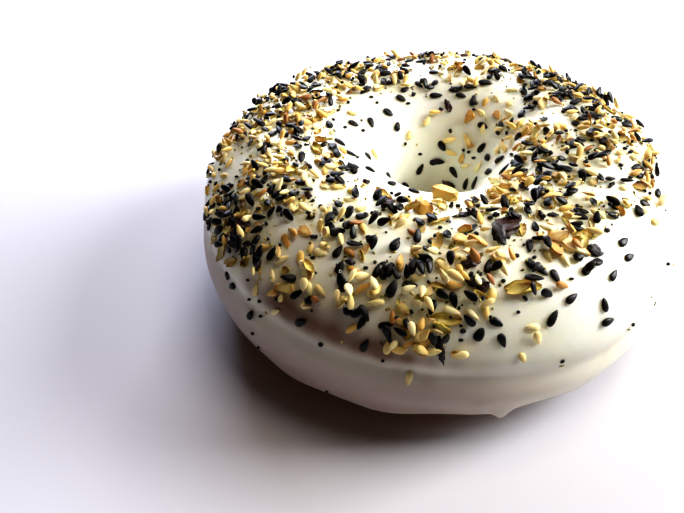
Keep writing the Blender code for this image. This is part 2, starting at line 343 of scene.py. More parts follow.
# %% Frames on the icing
SECTION_TUBES = np.radians(np.linspace(-36.0, 200.0, 945))  # a quarter of a degree apart
RING_MIDDLE = np.array([429.0, 202.0])  # where the middle of the ring falls in the picture, in pixels
MOST_INWARD = 0.2  # share of the way to it that a place beside the outline may be moved


def surface_frames(ring, tube):
    """Point, along, across, out and the two stretches (metres per radian) of places on the icing."""
    ring, tube = np.atleast_1d(ring).astype(float), np.atleast_1d(tube).astype(float)
    point = icing_points(ring, tube)
    along = icing_points(ring + SLOPE_STEP, tube) - icing_points(ring - SLOPE_STEP, tube)
    across = icing_points(ring, tube + SLOPE_STEP) - icing_points(ring, tube - SLOPE_STEP)
    ring_stretch = np.linalg.norm(along, axis=-1) / (2 * SLOPE_STEP)
    tube_stretch = np.linalg.norm(across, axis=-1) / (2 * SLOPE_STEP)
    out = np.cross(along, across)
    out /= np.linalg.norm(out, axis=-1, keepdims=True)
    along /= np.linalg.norm(along, axis=-1, keepdims=True)
    return point, along, np.cross(out, along), out, ring_stretch, tube_stretch


def picture_ray(x, y):
    """The direction from the camera through a point of the picture, in pixels from its top left."""
    across_x, up_y = x - PICTURE_WIDTH / 2, PICTURE_HEIGHT / 2 - y
    return (turned @ Vector((across_x, up_y, -FOCAL_PIXELS))).normalized()


def under_picture(x, y):
    """Ring and tube angle of the icing under a point of the picture, or None."""
    hit = icing_tree.ray_cast(CAMERA_PLACE, picture_ray(x, y))[0]
    if hit is None:
        return None
    spot = np.array(hit) - SHIFT
    ring = math.atan2(spot[1], spot[0])
    section = icing_points(ring, SECTION_TUBES)
    return ring, SECTION_TUBES[np.argmin(np.linalg.norm(section - np.array(hit), axis=1))]


def nearest_under(x, y):
    """The same, or else that of the next point towards the middle of the ring."""
    for share in np.linspace(0.0, MOST_INWARD, 41):
        place = under_picture(*(np.array([x, y]) * (1.0 - share) + RING_MIDDLE * share))
        if place is not None:
            return place


def picture_turn(frame, x, y, angle_deg):
    """The turn on the icing of something that points at this angle in the picture."""
    point, along, across, out = [np.array(part[0]) for part in frame[:4]]
    angle = math.radians(angle_deg)
    pointing = np.array(turned @ Vector((math.cos(angle), math.sin(angle), 0.0)))
    ray = np.array(picture_ray(x, y))
    pointing = pointing - ray * (pointing @ out) / (ray @ out)
    return math.atan2(pointing @ across, pointing @ along)


print("the ring's middle is over ring and tube angle", np.round(np.degrees(nearest_under(*RING_MIDDLE)), 1))

# %% [markdown]
# ## A map of heights
# Seeds that are dropped on each other pile up. A rigid body simulation would pile them too, but it is
# slow and rolls them off a slope. A table with one height for every small cell of the icing does
# the same work: a piece is lowered until it touches the highest cell under it, tilts with its
# neighbours, and then raises those cells.

# %% The map of heights
RING_CELLS, TUBE_CELLS = 1000, 260
TUBE_LOW, TUBE_HIGH = math.radians(-34.0), math.radians(198.0)
RING_CELL = 2 * math.pi / RING_CELLS
TUBE_CELL = (TUBE_HIGH - TUBE_LOW) / (TUBE_CELLS - 1)
ground = np.zeros((RING_CELLS, TUBE_CELLS))
STEEPEST = 0.75  # slope that a piece may take on its neighbours
BARE_SINK, PILED_SINK = 0.28, 0.14  # share of its thickness that a piece sinks in
BARE_BELOW = 0.0002  # where less than this lies, the icing counts as bare
HIGHEST_TOP = cad_box[1][2] + 0.0009  # a piece that would stand higher is pressed down
END_FROM = 0.25  # where the ends of a piece begin, as a share of its half length or width
BETWEEN_ENDS = 0.6  # share of the length or width between the places where the two ends rest
print("map of heights:", RING_CELLS, "by", TUBE_CELLS, "cells")


def footprint(ring, tube, ring_stretch, tube_stretch, turn, size):
    """The map's cells under an oval piece, with their places in the piece from -1 to 1."""
    cos, sin = math.cos(turn), math.sin(turn)
    half_length, half_width = size[0] / 2, size[1] / 2
    rows = math.ceil((abs(cos) * half_length + abs(sin) * half_width) / ring_stretch / RING_CELL)
    columns = math.ceil((abs(sin) * half_length + abs(cos) * half_width) / tube_stretch / TUBE_CELL)
    row, column = np.meshgrid(np.arange(-rows, rows + 1), np.arange(-columns, columns + 1), indexing="ij")
    along, across = row * RING_CELL * ring_stretch, column * TUBE_CELL * tube_stretch
    u = (along * cos + across * sin) / half_length
    v = (across * cos - along * sin) / half_width
    inside = u * u + v * v < 1.0
    row = (round(ring / RING_CELL) + row[inside]) % RING_CELLS
    column = np.clip(round((tube - TUBE_LOW) / TUBE_CELL) + column[inside], 0, TUBE_CELLS - 1)
    return row, column, u[inside], v[inside]


def seat(ring, tube, turn, size):
    """Lowers a piece on what lies there. Gives its centre and its three axes, as rows."""
    frame = [part[0] for part in surface_frames(ring, tube)]
    point, along, across, out, ring_stretch, tube_stretch = frame
    row, column, u, v = footprint(ring, tube, ring_stretch, tube_stretch, turn, size)
    here = ground[row, column]
    slopes = []
    for place, extent in ((u, size[0]), (v, size[1])):
        rise = here[place > END_FROM].max(initial=0.0) - here[place < -END_FROM].max(initial=0.0)
        slopes.append(min(max(rise / (BETWEEN_ENDS * extent), -STEEPEST), STEEPEST))
    plane = slopes[0] * u * size[0] / 2 + slopes[1] * v * size[1] / 2
    dome = size[2] / 2 * np.sqrt(1.0 - u * u - v * v)
    sink = BARE_SINK if here.max(initial=0.0) < BARE_BELOW else PILED_SINK
    centre = (here + dome - plane).max(initial=size[2] / 2) - sink * size[2]
    long_axis = along * math.cos(turn) + across * math.sin(turn)
    wide_axis = across * math.cos(turn) - along * math.sin(turn)
    long_axis = long_axis + out * slopes[0]
    long_axis /= np.linalg.norm(long_axis)
    wide_axis = wide_axis + out * slopes[1]
    wide_axis -= long_axis * (wide_axis @ long_axis)
    wide_axis /= np.linalg.norm(wide_axis)
    axes = np.array([long_axis, wide_axis, np.cross(long_axis, wide_axis)])
    top = point[2] + out[2] * centre + np.linalg.norm(axes[:, 2] * size) / 2
    centre -= max(top - HIGHEST_TOP, 0.0)
    ground[row, column] = np.maximum(here, centre + plane + dome)
    return point + out * centre, axes

# %% [markdown]
# ## Collecting pieces
# Every kind of topping becomes one joined mesh. A small class holds the points, faces and values of
# each copy until all are placed. Instances would be lighter, but a plain mesh exports as it is.

# %% Heap of joined pieces


class Heap:
    """One kind of topping: shapes are added one by one, and joined at the end."""

    def __init__(self, name, slot, sharp_deg=None):
        self.name, self.slot, self.sharp_deg = name, slot, sharp_deg
        self.points, self.faces, self.values, self.count, self.start = [], [], {}, 0, 0

    def add(self, shape, size, centre, axes, **values):
        """Adds a shape (points, faces, values) at true size. Extra values are the same all over."""
        points, faces, own = shape
        self.points.append(points * np.array(size) @ axes + centre)
        self.faces += [[corner + self.start for corner in face] for face in faces]
        for key, numbers in {**own, **values}.items():
            self.values.setdefault(key, []).append(np.broadcast_to(numbers, len(points)))
        self.start += len(points)
        self.count += 1

    def join(self):
        """The joined mesh object, riding on the doughnut."""
        values = {key: np.concatenate(numbers) for key, numbers in self.values.items()}
        made = add_mesh(self.name, np.concatenate(self.points), self.faces, values)
        if self.sharp_deg:
            made.data.set_sharp_from_angle(angle=math.radians(self.sharp_deg))
        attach(made, "root")
        triangles = sum(len(face) - 2 for face in self.faces)
        print(f"{self.name}: {self.count} pieces, {triangles} triangles")
        return made

# %% [markdown]
# ## Seed shapes
# A sesame seed is a flattened teardrop about 3 mm long, with a blunt end, a pointed end and a slight
# rim; a poppy seed is a kidney under 1 mm. Both are ovals whose width, thickness and bend change along
# their length, so one function draws them all from a few numbers.

# %% Oval seeds
RIM_AT, RIM_SPREAD = 0.75, 0.22  # where a seed's raised rim runs, as shares of its half width


def oval_shape(sides, rings, point=0.4, rim=0.0, bend=0.0, blunt=0.5):
    """A unit oval along X. Values: tip, from 0 at the blunt end to 1, and edge, 1 on the rim."""
    points, tips, edges = [(-0.5, 0.0, 0.0)], [0.0], [1.0]
    for step in range(1, rings):
        x = -math.cos(math.pi * step / rings)
        half = (1.0 - x * x) ** blunt * (1.0 - point * (x + 1.0) / 2.0)
        for side in range(sides):
            angle = 2 * math.pi * side / sides
            y, z = math.cos(angle), math.sin(angle)
            raised = 1.0 + rim * math.exp(-(((abs(y) - RIM_AT) / RIM_SPREAD) ** 2))
            points.append((x / 2, y * half / 2, z * raised * half / 2 + bend * x * x / 2))
            tips.append((x + 1.0) / 2)
            edges.append(max(abs(y), abs(x)) ** 4)
    points.append((0.5, 0.0, 0.0))
    tips.append(1.0)
    edges.append(1.0)
    faces = [[0, 1 + (side + 1) % sides, 1 + side] for side in range(sides)]
    for step in range(rings - 2):
        for side in range(sides):
            a, b = 1 + step * sides + side, 1 + step * sides + (side + 1) % sides
            faces.append([a, b, b + sides, a + sides])
    last = 1 + (rings - 2) * sides
    faces += [[last + side, last + (side + 1) % sides, len(points) - 1] for side in range(sides)]
    return np.array(points), faces, {"tip": np.array(tips), "edge": np.array(edges)}


draw = np.random.default_rng(7)  # all the chance below comes from this
PALE_SHAPES = [oval_shape(12, 8, point=p, bend=b, blunt=0.55)
               for p, b in draw.uniform((0.45, -0.06), (0.75, 0.06), (8, 2))]
BLACK_SHAPES = [oval_shape(14, 8, point=p, rim=0.3, bend=b)
                for p, b in draw.uniform((0.35, -0.05), (0.65, 0.05), (8, 2))]
POPPY_SHAPES = [oval_shape(8, 6, point=p, bend=b)
                for p, b in draw.uniform((0.0, 0.05), (0.25, 0.2), (4, 2))]
print("seed shapes:", len(PALE_SHAPES), len(BLACK_SHAPES), len(POPPY_SHAPES))

# %% [markdown]
# ## Chip shapes
# Dried garlic is chopped before it dries, so it breaks in chunks with flat faces. A round
# ball whose points are pressed back behind a few random planes gives such a chunk. Browned onion
# bits are the same with rough noise instead of clean cuts.

# %% Chips
CHIP_BUMPS = 6.0  # how many waves of roughness go across a chip
SLAB_FACES = ((0.15, 0.1, 1.0), (-0.1, 0.2, -1.0))  # a slab's first two cuts are nearly parallel
SLAB_SIDES = 0.25  # how far its other cuts lean, as a share of those of a chunk
EDGE_GAIN, EDGE_LESS = 2.6, 0.6  # edge is 0 at 0.23 of a chip's size from its middle, and 1 from 0.62 on


def ball(levels):
    """Unit ball points and faces."""
    shape = bmesh.new()
    bmesh.ops.create_icosphere(shape, subdivisions=levels, radius=0.5)
    points = np.array([vertex.co for vertex in shape.verts])
    faces = [[vertex.index for vertex in face.verts] for face in shape.faces]
    shape.free()
    return points, faces


BALLS = {levels: ball(levels) for levels in (1, 2, 3)}
print("balls:", {levels: len(faces) for levels, (_, faces) in BALLS.items()}, "faces")


def chip_shape(levels, cuts, depth, rough, draw, slab=False):
    """A ball cut by random planes and roughened. Values: edge, lowest on the deepest cuts."""
    points, faces = BALLS[levels]
    points = points.copy() * draw.uniform(0.9, 1.1, 3)
    normals = draw.normal(size=(cuts, 3))
    if slab:
        normals[:2] = SLAB_FACES
        normals[2:, 2] *= SLAB_SIDES
    for normal in normals:
        normal = normal / np.linalg.norm(normal)
        past = np.maximum(points @ normal - draw.uniform(*depth), 0.0)
        points -= past[:, None] * normal
    offset = draw.uniform(0.0, 50.0, 3)
    bumps = np.array([noise.noise(Vector(p * CHIP_BUMPS + offset)) for p in points])
    points *= (1.0 + rough * bumps)[:, None]
    extent = points.max(0) - points.min(0)
    points = (points - (points.max(0) + points.min(0)) / 2) / extent
    edge = np.clip(np.linalg.norm(points, axis=1) * EDGE_GAIN - EDGE_LESS, 0.0, 1.0)
    return points, faces, {"edge": edge}

# %% [markdown]
# ## Flake shapes
# Dried onion is a slice of a thin layer that curls as it dries. Each flake is a small grid with
# tapering ends, rolled about its length, bent and twisted, and given a back face to close it.

# %% Curled flakes
END_TAPER = 0.75  # how much narrower a flake gets towards its ends
CRUMPLE = 0.08  # unevenness, in half lengths of the flake


def flake_shape(curl, bend, twist, ragged, draw, rows=11, columns=5, sheet=0.16):
    """A curled closed sheet in a unit box. Values: edge, 1 along the rim."""
    u, v = np.meshgrid(np.linspace(-1, 1, rows), np.linspace(-1, 1, columns), indexing="ij")
    width = (1.0 - np.abs(u) ** 3 * END_TAPER) * (1.0 + ragged * draw.uniform(-1, 1, (rows, 1)))
    angle = curl * v + twist * u
    reach = 1.0 / curl
    y, z = np.sin(angle) * width * reach, (1.0 - np.cos(angle)) * reach
    z = z + bend * u * u + CRUMPLE * draw.normal(size=u.shape)
    top = np.stack([u, y, z + sheet], axis=-1).reshape(-1, 3)
    low = np.stack([u, y, z - sheet], axis=-1).reshape(-1, 3)
    rim = np.maximum(np.abs(u), np.abs(v)).reshape(-1) ** 3
    count = rows * columns
    faces = []
    for r in range(rows - 1):
        for c in range(columns - 1):
            a = r * columns + c
            quad = [a, a + columns, a + columns + 1, a + 1]
            faces.append(quad)
            faces.append([corner + count for corner in reversed(quad)])
    border = [*range(columns), *range(2 * columns - 1, count, columns),
              *range(count - 2, count - columns - 1, -1), *range(count - 2 * columns, 0, -columns)]
    for a, b in zip(border, border[1:] + border[:1]):
        faces.append([a, b, b + count, a + count])
    points = np.concatenate([top, low])
    extent = points.max(0) - points.min(0)
    points = (points - (points.max(0) + points.min(0)) / 2) / extent
    return points, faces, {"edge": np.concatenate([rim, rim])}

# %% [markdown]
# ## Large pieces and single seeds
# The eye knows a doughnut by its odd large flakes and by the lone seeds on bare icing. These are set
# one by one. Each row says where the piece falls in the camera's picture, in pixels from the top left,
# and the angle that its pointed end makes there; a ray from the camera finds the icing.

# %% Large pieces, one by one
# x and y in the picture, in pixels, and the angle in degrees; length, width and thickness in mm; and a
# tone, where the piece has its own
GARLIC_CHUNKS = (
    (445, 198, -20, 5.6, 4.4, 3.4, 0.8), (421, 209, -50, 4.6, 3.4, 2.8, 1.0),
    (286, 287, -45, 4.0, 3.2, 1.6), (571, 247, -32, 7.4, 3.0, 1.6),
    (555, 239, 20, 4.2, 3.0, 1.4), (401, 322, -40, 3.0, 2.4, 1.5),
    (402, 309, 10, 2.4, 2.2, 1.3), (461, 241, -15, 3.6, 2.2, 1.5), (500, 260, -60, 4.0, 2.6, 1.4),
    (496, 182, -22, 6.4, 2.2, 1.8), (500, 193, -8, 4.4, 1.8, 1.4), (470, 118, 60, 3.6, 2.2, 2.2, 1.0),
    (469, 141, -68, 4.2, 1.8, 1.4), (306, 232, -10, 3.0, 2.2, 1.2), (575, 158, 40, 4.0, 2.6, 1.6),
    (608, 126, -10, 3.6, 2.4, 1.4), (477, 243, -20, 4.2, 3.0, 1.2), (253, 143, -15, 3.2, 2.4, 1.3),
    (327, 113, 15, 3.8, 2.2, 1.4), (378, 88, 30, 3.6, 2.6, 1.4), (519, 124, 30, 3.2, 2.2, 1.4),
)
BROWN_FLAKES = (
    (505, 230, 30, 6.6, 4.2, 2.4), (497, 239, -60, 4.6, 2.6, 1.6), (513, 222, 10, 3.8, 2.4, 1.6),
    (440, 350, -80, 6.0, 1.7, 1.4), (467, 215, 12, 7.0, 1.2, 0.9), (474, 218, -28, 4.6, 1.1, 0.8),
    (240, 233, 40, 5.2, 3.0, 2.0), (247, 224, -30, 4.2, 2.6, 1.7), (233, 222, 80, 3.6, 2.0, 1.4),
    (471, 262, 20, 4.2, 2.6, 1.6), (476, 283, -20, 4.6, 2.2, 1.5), (481, 290, 60, 3.4, 1.8, 1.3),
    (332, 148, -50, 4.2, 2.4, 1.6), (325, 164, 60, 3.8, 2.2, 1.5), (449, 184, -15, 4.0, 1.8, 1.2),
    (345, 76, -20, 4.4, 2.8, 1.8), (380, 69, 20, 3.6, 2.2, 1.6), (448, 106, -70, 4.0, 1.6, 1.2),
    (456, 90, 5, 3.6, 1.8, 1.3), (524, 77, 10, 4.2, 2.6, 1.6), (606, 144, -20, 4.0, 2.6, 1.7),
    (594, 251, -20, 3.6, 2.6, 1.4), (387, 205, 30, 3.4, 2.2, 1.4), (540, 192, 70, 3.8, 2.4, 1.6),
)
ONION_FLAKES = (
    (523, 287, 2, 6.8, 2.4, 1.4), (516, 290, 20, 4.6, 1.9, 1.2), (222, 252, 65, 6.0, 2.4, 1.6),
    (232, 262, 30, 3.8, 2.0, 1.3), (446, 318, -5, 5.4, 2.4, 1.4), (411, 331, 50, 3.6, 2.0, 1.3),
    (441, 327, -35, 4.2, 1.8, 1.2), (285, 172, -25, 4.6, 2.2, 1.4), (293, 172, 40, 3.6, 2.0, 1.2),
    (338, 170, 80, 5.6, 1.9, 1.4), (316, 150, -45, 4.6, 2.2, 1.4), (284, 112, 60, 4.0, 2.2, 1.4),
    (299, 205, 60, 4.2, 2.2, 1.4), (383, 196, -30, 4.4, 2.2, 1.4), (426, 52, 0, 6.0, 1.8, 1.2),
    (437, 243, 70, 4.2, 2.2, 1.4), (550, 202, -70, 5.0, 2.0, 1.4), (455, 68, 20, 3.8, 2.0, 1.4),
    (459, 354, -15, 2.8, 1.6, 1.0), (583, 236, 0, 4.4, 2.2, 1.5), (508, 201, 30, 3.6, 1.9, 1.3),
    (208, 191, 85, 3.2, 1.5, 1.0), (214, 240, 50, 3.0, 1.8, 1.2), (297, 100, -50, 4.0, 2.2, 1.4),
)
print("large pieces:", len(GARLIC_CHUNKS), len(BROWN_FLAKES), len(ONION_FLAKES))

# %% [markdown]
# ## Seeds that stand out
# Where the cover is thin, each seed can be told apart, so those get their own places and turns too.
# Painting the seeds into a texture would lose their shadows and their outline at the rim.

# %% Single seeds, one by one
# x and y in the picture, in pixels, and the angle in degrees
LONE_BLACK = (
    (496, 322, 332), (571, 298, 40), (552, 318, 62), (604, 305, 100), (607, 321, 25), (545, 294, 340),
    (502, 340, 290), (392, 290, 60), (386, 325, 10), (228, 276, 265), (233, 286, 200), (251, 315, 60),
    (301, 322, 20), (199, 216, 80), (210, 225, 70), (272, 254, 60), (256, 259, 100), (338, 252, 55),
    (340, 268, 65), (342, 281, 100), (346, 287, 40), (348, 308, 85), (358, 312, 40), (365, 345, 60),
    (377, 271, 70), (384, 273, 80), (392, 289, 62), (410, 285, 355), (412, 267, 78), (395, 246, 50),
    (331, 228, 310), (338, 234, 20), (349, 228, 45), (362, 217, 8), (333, 212, 330), (298, 294, 40),
    (329, 125, 115), (353, 124, 335), (371, 123, 290), (397, 127, 85), (388, 113, 325), (401, 99, 330),
    (405, 90, 25), (340, 143, 325), (350, 154, 335), (368, 157, 300), (353, 167, 345), (370, 170, 330),
    (388, 176, 325), (392, 184, 15), (405, 185, 335), (414, 192, 340), (307, 139, 30), (269, 146, 10),
    (318, 98, 0), (317, 106, 90), (295, 104, 60), (260, 165, 330), (265, 180, 60), (272, 189, 60),
    (278, 195, 20), (302, 184, 350), (225, 138, 10), (229, 204, 60), (230, 187, 20), (296, 167, 300),
    (442, 146, 300), (435, 162, 10), (439, 161, 350), (420, 169, 60), (454, 172, 300), (482, 148, 50),
    (488, 158, 300), (500, 160, 40), (501, 126, 90), (512, 126, 45), (483, 126, 335), (528, 98, 35),
    (538, 102, 25), (516, 163, 355), (518, 167, 20), (506, 172, 30), (489, 172, 0), (475, 183, 70),
    (466, 184, 72), (470, 204, 330), (540, 150, 60), (532, 152, 10), (436, 96, 0), (461, 96, 345),
    (419, 85, 320), (390, 83, 20), (395, 83, 0), (490, 77, 50), (447, 236, 80), (471, 229, 30),
    (413, 267, 75), (395, 246, 45), (530, 265, 300), (542, 271, 320), (533, 279, 350), (555, 277, 300),
    (587, 269, 50), (596, 263, 20), (585, 95, 325), (575, 111, 320), (602, 104, 330), (598, 118, 20),
    (576, 125, 330), (596, 132, 350), (620, 136, 0), (645, 164, 90), (639, 176, 10), (641, 187, 310),
    (645, 204, 340), (657, 193, 80), (617, 207, 350), (606, 154, 30), (623, 242, 40), (613, 275, 60),
    (629, 257, 30), (586, 268, 60),
)
LONE_PALE = (
    (522, 357, 300), (532, 327, 180), (536, 337, 290), (472, 315, 325), (409, 378, 260), (387, 347, 85),
    (411, 342, 5), (424, 351, 270), (433, 349, 10), (436, 331, 0), (459, 353, 190), (282, 260, 25),
    (301, 259, 265), (307, 266, 330), (311, 248, 80), (321, 253, 345), (326, 247, 330), (264, 248, 10),
    (350, 253, 320), (355, 271, 335), (363, 277, 10), (373, 296, 320), (364, 288, 30), (310, 289, 280),
    (321, 291, 310), (307, 306, 355), (276, 311, 20), (256, 290, 80), (273, 293, 200), (353, 328, 30),
    (400, 265, 85), (409, 135, 80), (374, 155, 300), (352, 114, 345), (225, 176, 10), (225, 158, 50),
    (208, 173, 65), (254, 134, 0), (255, 141, 350), (303, 174, 345), (315, 176, 335), (302, 155, 40),
    (351, 200, 0), (361, 209, 20), (450, 140, 15), (452, 153, 340), (462, 158, 70), (466, 166, 10),
    (479, 167, 60), (498, 150, 70), (427, 121, 60), (435, 113, 10), (484, 130, 60), (497, 99, 300),
    (509, 103, 80), (495, 198, 0), (408, 200, 320), (400, 262, 80), (418, 278, 10), (454, 286, 355),
    (464, 278, 310), (459, 260, 330), (469, 249, 0), (484, 233, 325), (492, 252, 5), (502, 271, 310),
    (492, 295, 280), (548, 257, 300), (564, 260, 300), (629, 143, 315), (635, 152, 330), (646, 156, 80),
    (649, 173, 60), (661, 198, 70), (658, 203, 80), (625, 188, 10), (625, 205, 330), (644, 211, 30),
    (655, 222, 20), (612, 200, 40), (600, 215, 10), (560, 286, 350),
)
# x, y: a poppy seed is too round for its turn to show
LONE_POPPY = (
    (562, 361), (461, 340), (463, 331), (260, 301), (250, 299), (261, 316), (253, 333), (259, 347),
    (327, 391), (321, 207), (315, 273), (313, 258), (366, 268), (354, 237), (369, 237), (321, 344),
    (345, 128), (363, 131), (405, 144), (377, 103), (348, 103), (338, 111), (357, 158), (252, 114),
    (260, 108), (237, 177), (220, 170), (420, 154), (469, 152), (474, 158), (512, 155), (474, 110),
    (441, 110), (408, 104), (451, 207), (458, 207), (478, 207), (571, 279), (517, 256), (440, 228),
    (448, 222), (579, 227), (503, 281), (573, 88), (568, 96), (622, 132), (624, 149), (624, 143),
    (592, 141), (605, 161), (630, 178), (518, 312), (667, 264), (208, 217), (277, 299), (248, 280),
    (383, 360), (343, 227),
)
print("single seeds:", len(LONE_BLACK), len(LONE_PALE), len(LONE_POPPY))

# %% [markdown]
# ## Laying the set pieces
# The chunks and flakes go down first, so that seeds can lean on them. Each kind keeps its own heap. Every
# copy gets a random tone between 0 and 1, which its material turns into a lighter or darker roast.

# %% Lay large pieces
HEAPS = {
    "garlic": Heap("dried_garlic", "dried_garlic", sharp_deg=32),
    "brown": Heap("browned_onion", "browned_onion", sharp_deg=45),
    "onion": Heap("dried_onion", "dried_onion", sharp_deg=50),
    "pale": Heap("toasted_sesame", "toasted_sesame"),
    "black": Heap("black_sesame", "black_sesame"),
    "poppy": Heap("poppy_seeds", "poppy_seed"),
    "salt": Heap("coarse_salt", "coarse_salt", sharp_deg=30),
    "crumb": Heap("seasoning_crumbs", "dried_onion"),
}
SHAPES = {
    "garlic": lambda big: chip_shape(
        3 if big else 2, 8, (0.17, 0.30), 0.20 if big else 0.06, draw, slab=True),
    "brown": lambda big: chip_shape(3 if big else 2, 4, (0.25, 0.42), 0.55, draw),
    "onion": lambda big: flake_shape(
        draw.uniform(0.5, 1.9), draw.uniform(-0.7, 0.7), draw.uniform(-0.6, 0.6), 0.14, draw),
    "pale": lambda big: PALE_SHAPES[draw.integers(len(PALE_SHAPES))],
    "black": lambda big: BLACK_SHAPES[draw.integers(len(BLACK_SHAPES))],
    "poppy": lambda big: POPPY_SHAPES[draw.integers(len(POPPY_SHAPES))],
    "salt": lambda big: chip_shape(1, 6, (0.24, 0.34), 0.0, draw),
    "crumb": lambda big: chip_shape(1, 2, (0.25, 0.4), 0.5, draw),
}
# Length, width and thickness in mm, and how much they vary.
SIZES = {
    "garlic": ((2.3, 1.6, 1.0), 0.30), "brown": ((2.2, 1.4, 1.0), 0.30), "onion": ((2.8, 1.4, 0.9), 0.28),
    "pale": ((2.90, 1.80, 1.15), 0.09), "black": ((2.90, 1.95, 1.00), 0.09),
    "poppy": ((0.98, 0.80, 0.72), 0.16), "salt": ((0.9, 0.8, 0.7), 0.25),
    "crumb": ((0.60, 0.45, 0.36), 0.40),
}
BIG = 3.4  # mm: a garlic or browned piece at least this long gets a finer shape


def lay(kind, ring, tube, turn, size=None, tone=None):
    """Shapes one piece of a kind and lowers it on the doughnut."""
    if size is None:
        usual, spread = SIZES[kind]
        size = np.array(usual) * np.clip(draw.normal(1.0, spread, 3), 1 - 2 * spread, 1 + 2 * spread)
    metres = np.array(size) * MM
    centre, axes = seat(ring, tube, turn, metres)
    shape = SHAPES[kind](size[0] >= BIG)
    HEAPS[kind].add(shape, metres, centre, axes, tone=draw.random() if tone is None else tone)


def lay_in_picture(kind, x, y, angle, *size):
    """Lays a piece where it falls in the picture. Its size in mm and its tone may follow."""
    place = nearest_under(x, y)
    turn = picture_turn(surface_frames(*place), x, y, angle)
    lay(kind, *place, turn, size[:3] or None, *size[3:])


for kind, rows in (("garlic", GARLIC_CHUNKS), ("brown", BROWN_FLAKES), ("onion", ONION_FLAKES)):
    for row in rows:
        lay_in_picture(kind, *row)
for kind, rows in (("black", LONE_BLACK), ("pale", LONE_PALE)):
    for row in rows:
        lay_in_picture(kind, *row)
for row in LONE_POPPY:
    lay_in_picture("poppy", *row, 0)
print("laid one by one:", {kind: heap.count for kind, heap in HEAPS.items()})

# %% [markdown]
# ## The drifts
# Between the set pieces lie about 2,360 more. Their cover follows a broad ring, given by its
# lower and upper edge at twelve ring angles, plus round drifts and bare spots where the hand shook more or
# less. Rejection sampling draws places evenly over the surface, then keeps each with the cover's odds.

# %% Cover of the seasoning
STATIONS = (
    # ring, lowest and highest tube angle in degrees, cover from 0 to 1
    (-180.0, 36.0, 108.0, 0.75), (-150.0, 30.0, 110.0, 0.85), (-120.0, 34.0, 104.0, 0.75),
    (-90.0, 27.0, 108.0, 0.80), (-60.0, 56.0, 110.0, 0.85), (-30.0, 60.0, 126.0, 0.95),
    (0.0, 52.0, 128.0, 0.95), (30.0, 42.0, 132.0, 0.68), (60.0, 40.0, 124.0, 0.62),
    (90.0, 40.0, 120.0, 0.56), (120.0, 36.0, 106.0, 0.80), (150.0, 34.0, 104.0, 0.85),
)
EDGE_FADE = 8.0  # degrees of tube angle over which the ring thins out
BLACK_SHARE = 0.42  # of the sesame seeds
# x and y in the picture, in pixels; reach in mm, added cover, share of black seeds
DRIFTS = (
    (240, 230, 5.5, 0.6, 0.85), (205, 215, 4.0, 0.0, 0.7), (262, 165, 6.0, 0.3, 0.3),
    (300, 120, 7.0, 0.3, 0.35), (350, 80, 7.0, 0.3, 0.5), (300, 185, 5.0, 0.2, 0.5),
    (385, 215, 6.0, 0.2, 0.5), (350, 225, 5.0, 0.2, 0.65), (425, 275, 6.0, 0.3, 0.5),
    (465, 270, 5.0, 0.5, 0.7), (440, 310, 5.0, 0.4, 0.4), (505, 230, 5.0, 0.5, 0.5),
    (530, 200, 6.0, 0.5, 0.5), (560, 180, 6.0, 0.5, 0.45), (580, 160, 5.0, 0.3, 0.45),
    (545, 130, 6.0, 0.2, 0.5), (535, 85, 8.0, 0.4, 0.75), (460, 90, 7.0, 0.1, 0.6),
    (430, 60, 6.0, 0.1, 0.3), (575, 245, 4.0, 0.3, 0.3), (490, 215, 4.0, 0.1, 0.6),
    (410, 330, 4.0, 0.2, 0.2), (450, 345, 3.0, 0.3, 0.9),
)
# x and y in the picture, in pixels; reach in mm
BARE_SPOTS = (
    (232, 178, 3.2), (228, 168, 3.0), (303, 240, 3.4), (292, 262, 3.0), (320, 280, 3.0), (400, 245, 2.6),
    (425, 235, 2.2), (385, 240, 2.0), (470, 222, 2.4), (440, 215, 2.2), (520, 250, 3.0), (535, 232, 2.4),
    (515, 270, 2.2), (350, 130, 4.0), (370, 140, 5.0), (390, 150, 6.0), (365, 115, 4.0), (415, 115, 4.0),
    (400, 130, 5.0), (420, 75, 3.0), (440, 80, 3.4), (500, 85, 3.0), (515, 105, 3.0), (555, 110, 2.4),
    (470, 110, 2.4), (490, 110, 3.0), (520, 140, 2.4), (480, 200, 2.0), (620, 175, 4.0), (610, 190, 3.0),
    (560, 290, 6.0), (600, 260, 5.0), (620, 230, 4.0), (580, 290, 6.0), (520, 310, 6.0), (340, 320, 5.0),
    (320, 330, 5.0), (375, 325, 2.4), (280, 330, 5.0), (470, 340, 4.0), (640, 150, 2.4), (380, 175, 2.4),
    (430, 140, 5.0), (330, 260, 2.2), (325, 200, 1.8), (285, 225, 2.0), (372, 250, 2.0), (415, 75, 2.6),
    (440, 102, 3.0), (480, 96, 2.2), (505, 98, 2.4), (530, 118, 3.0), (455, 128, 4.0), (560, 120, 2.4),
    (625, 160, 3.0), (600, 200, 2.4), (636, 240, 4.0), (270, 130, 2.4), (240, 160, 2.4),
)


def place_of(x, y):
    """The point of the icing under a place in the picture."""
    return icing_points(*nearest_under(x, y))


def near(points, centre, reach):
    """1 at the centre of a round patch, falling to 0 over its reach in mm."""
    return np.exp(-((np.linalg.norm(points - centre, axis=-1) / (reach * MM)) ** 2))


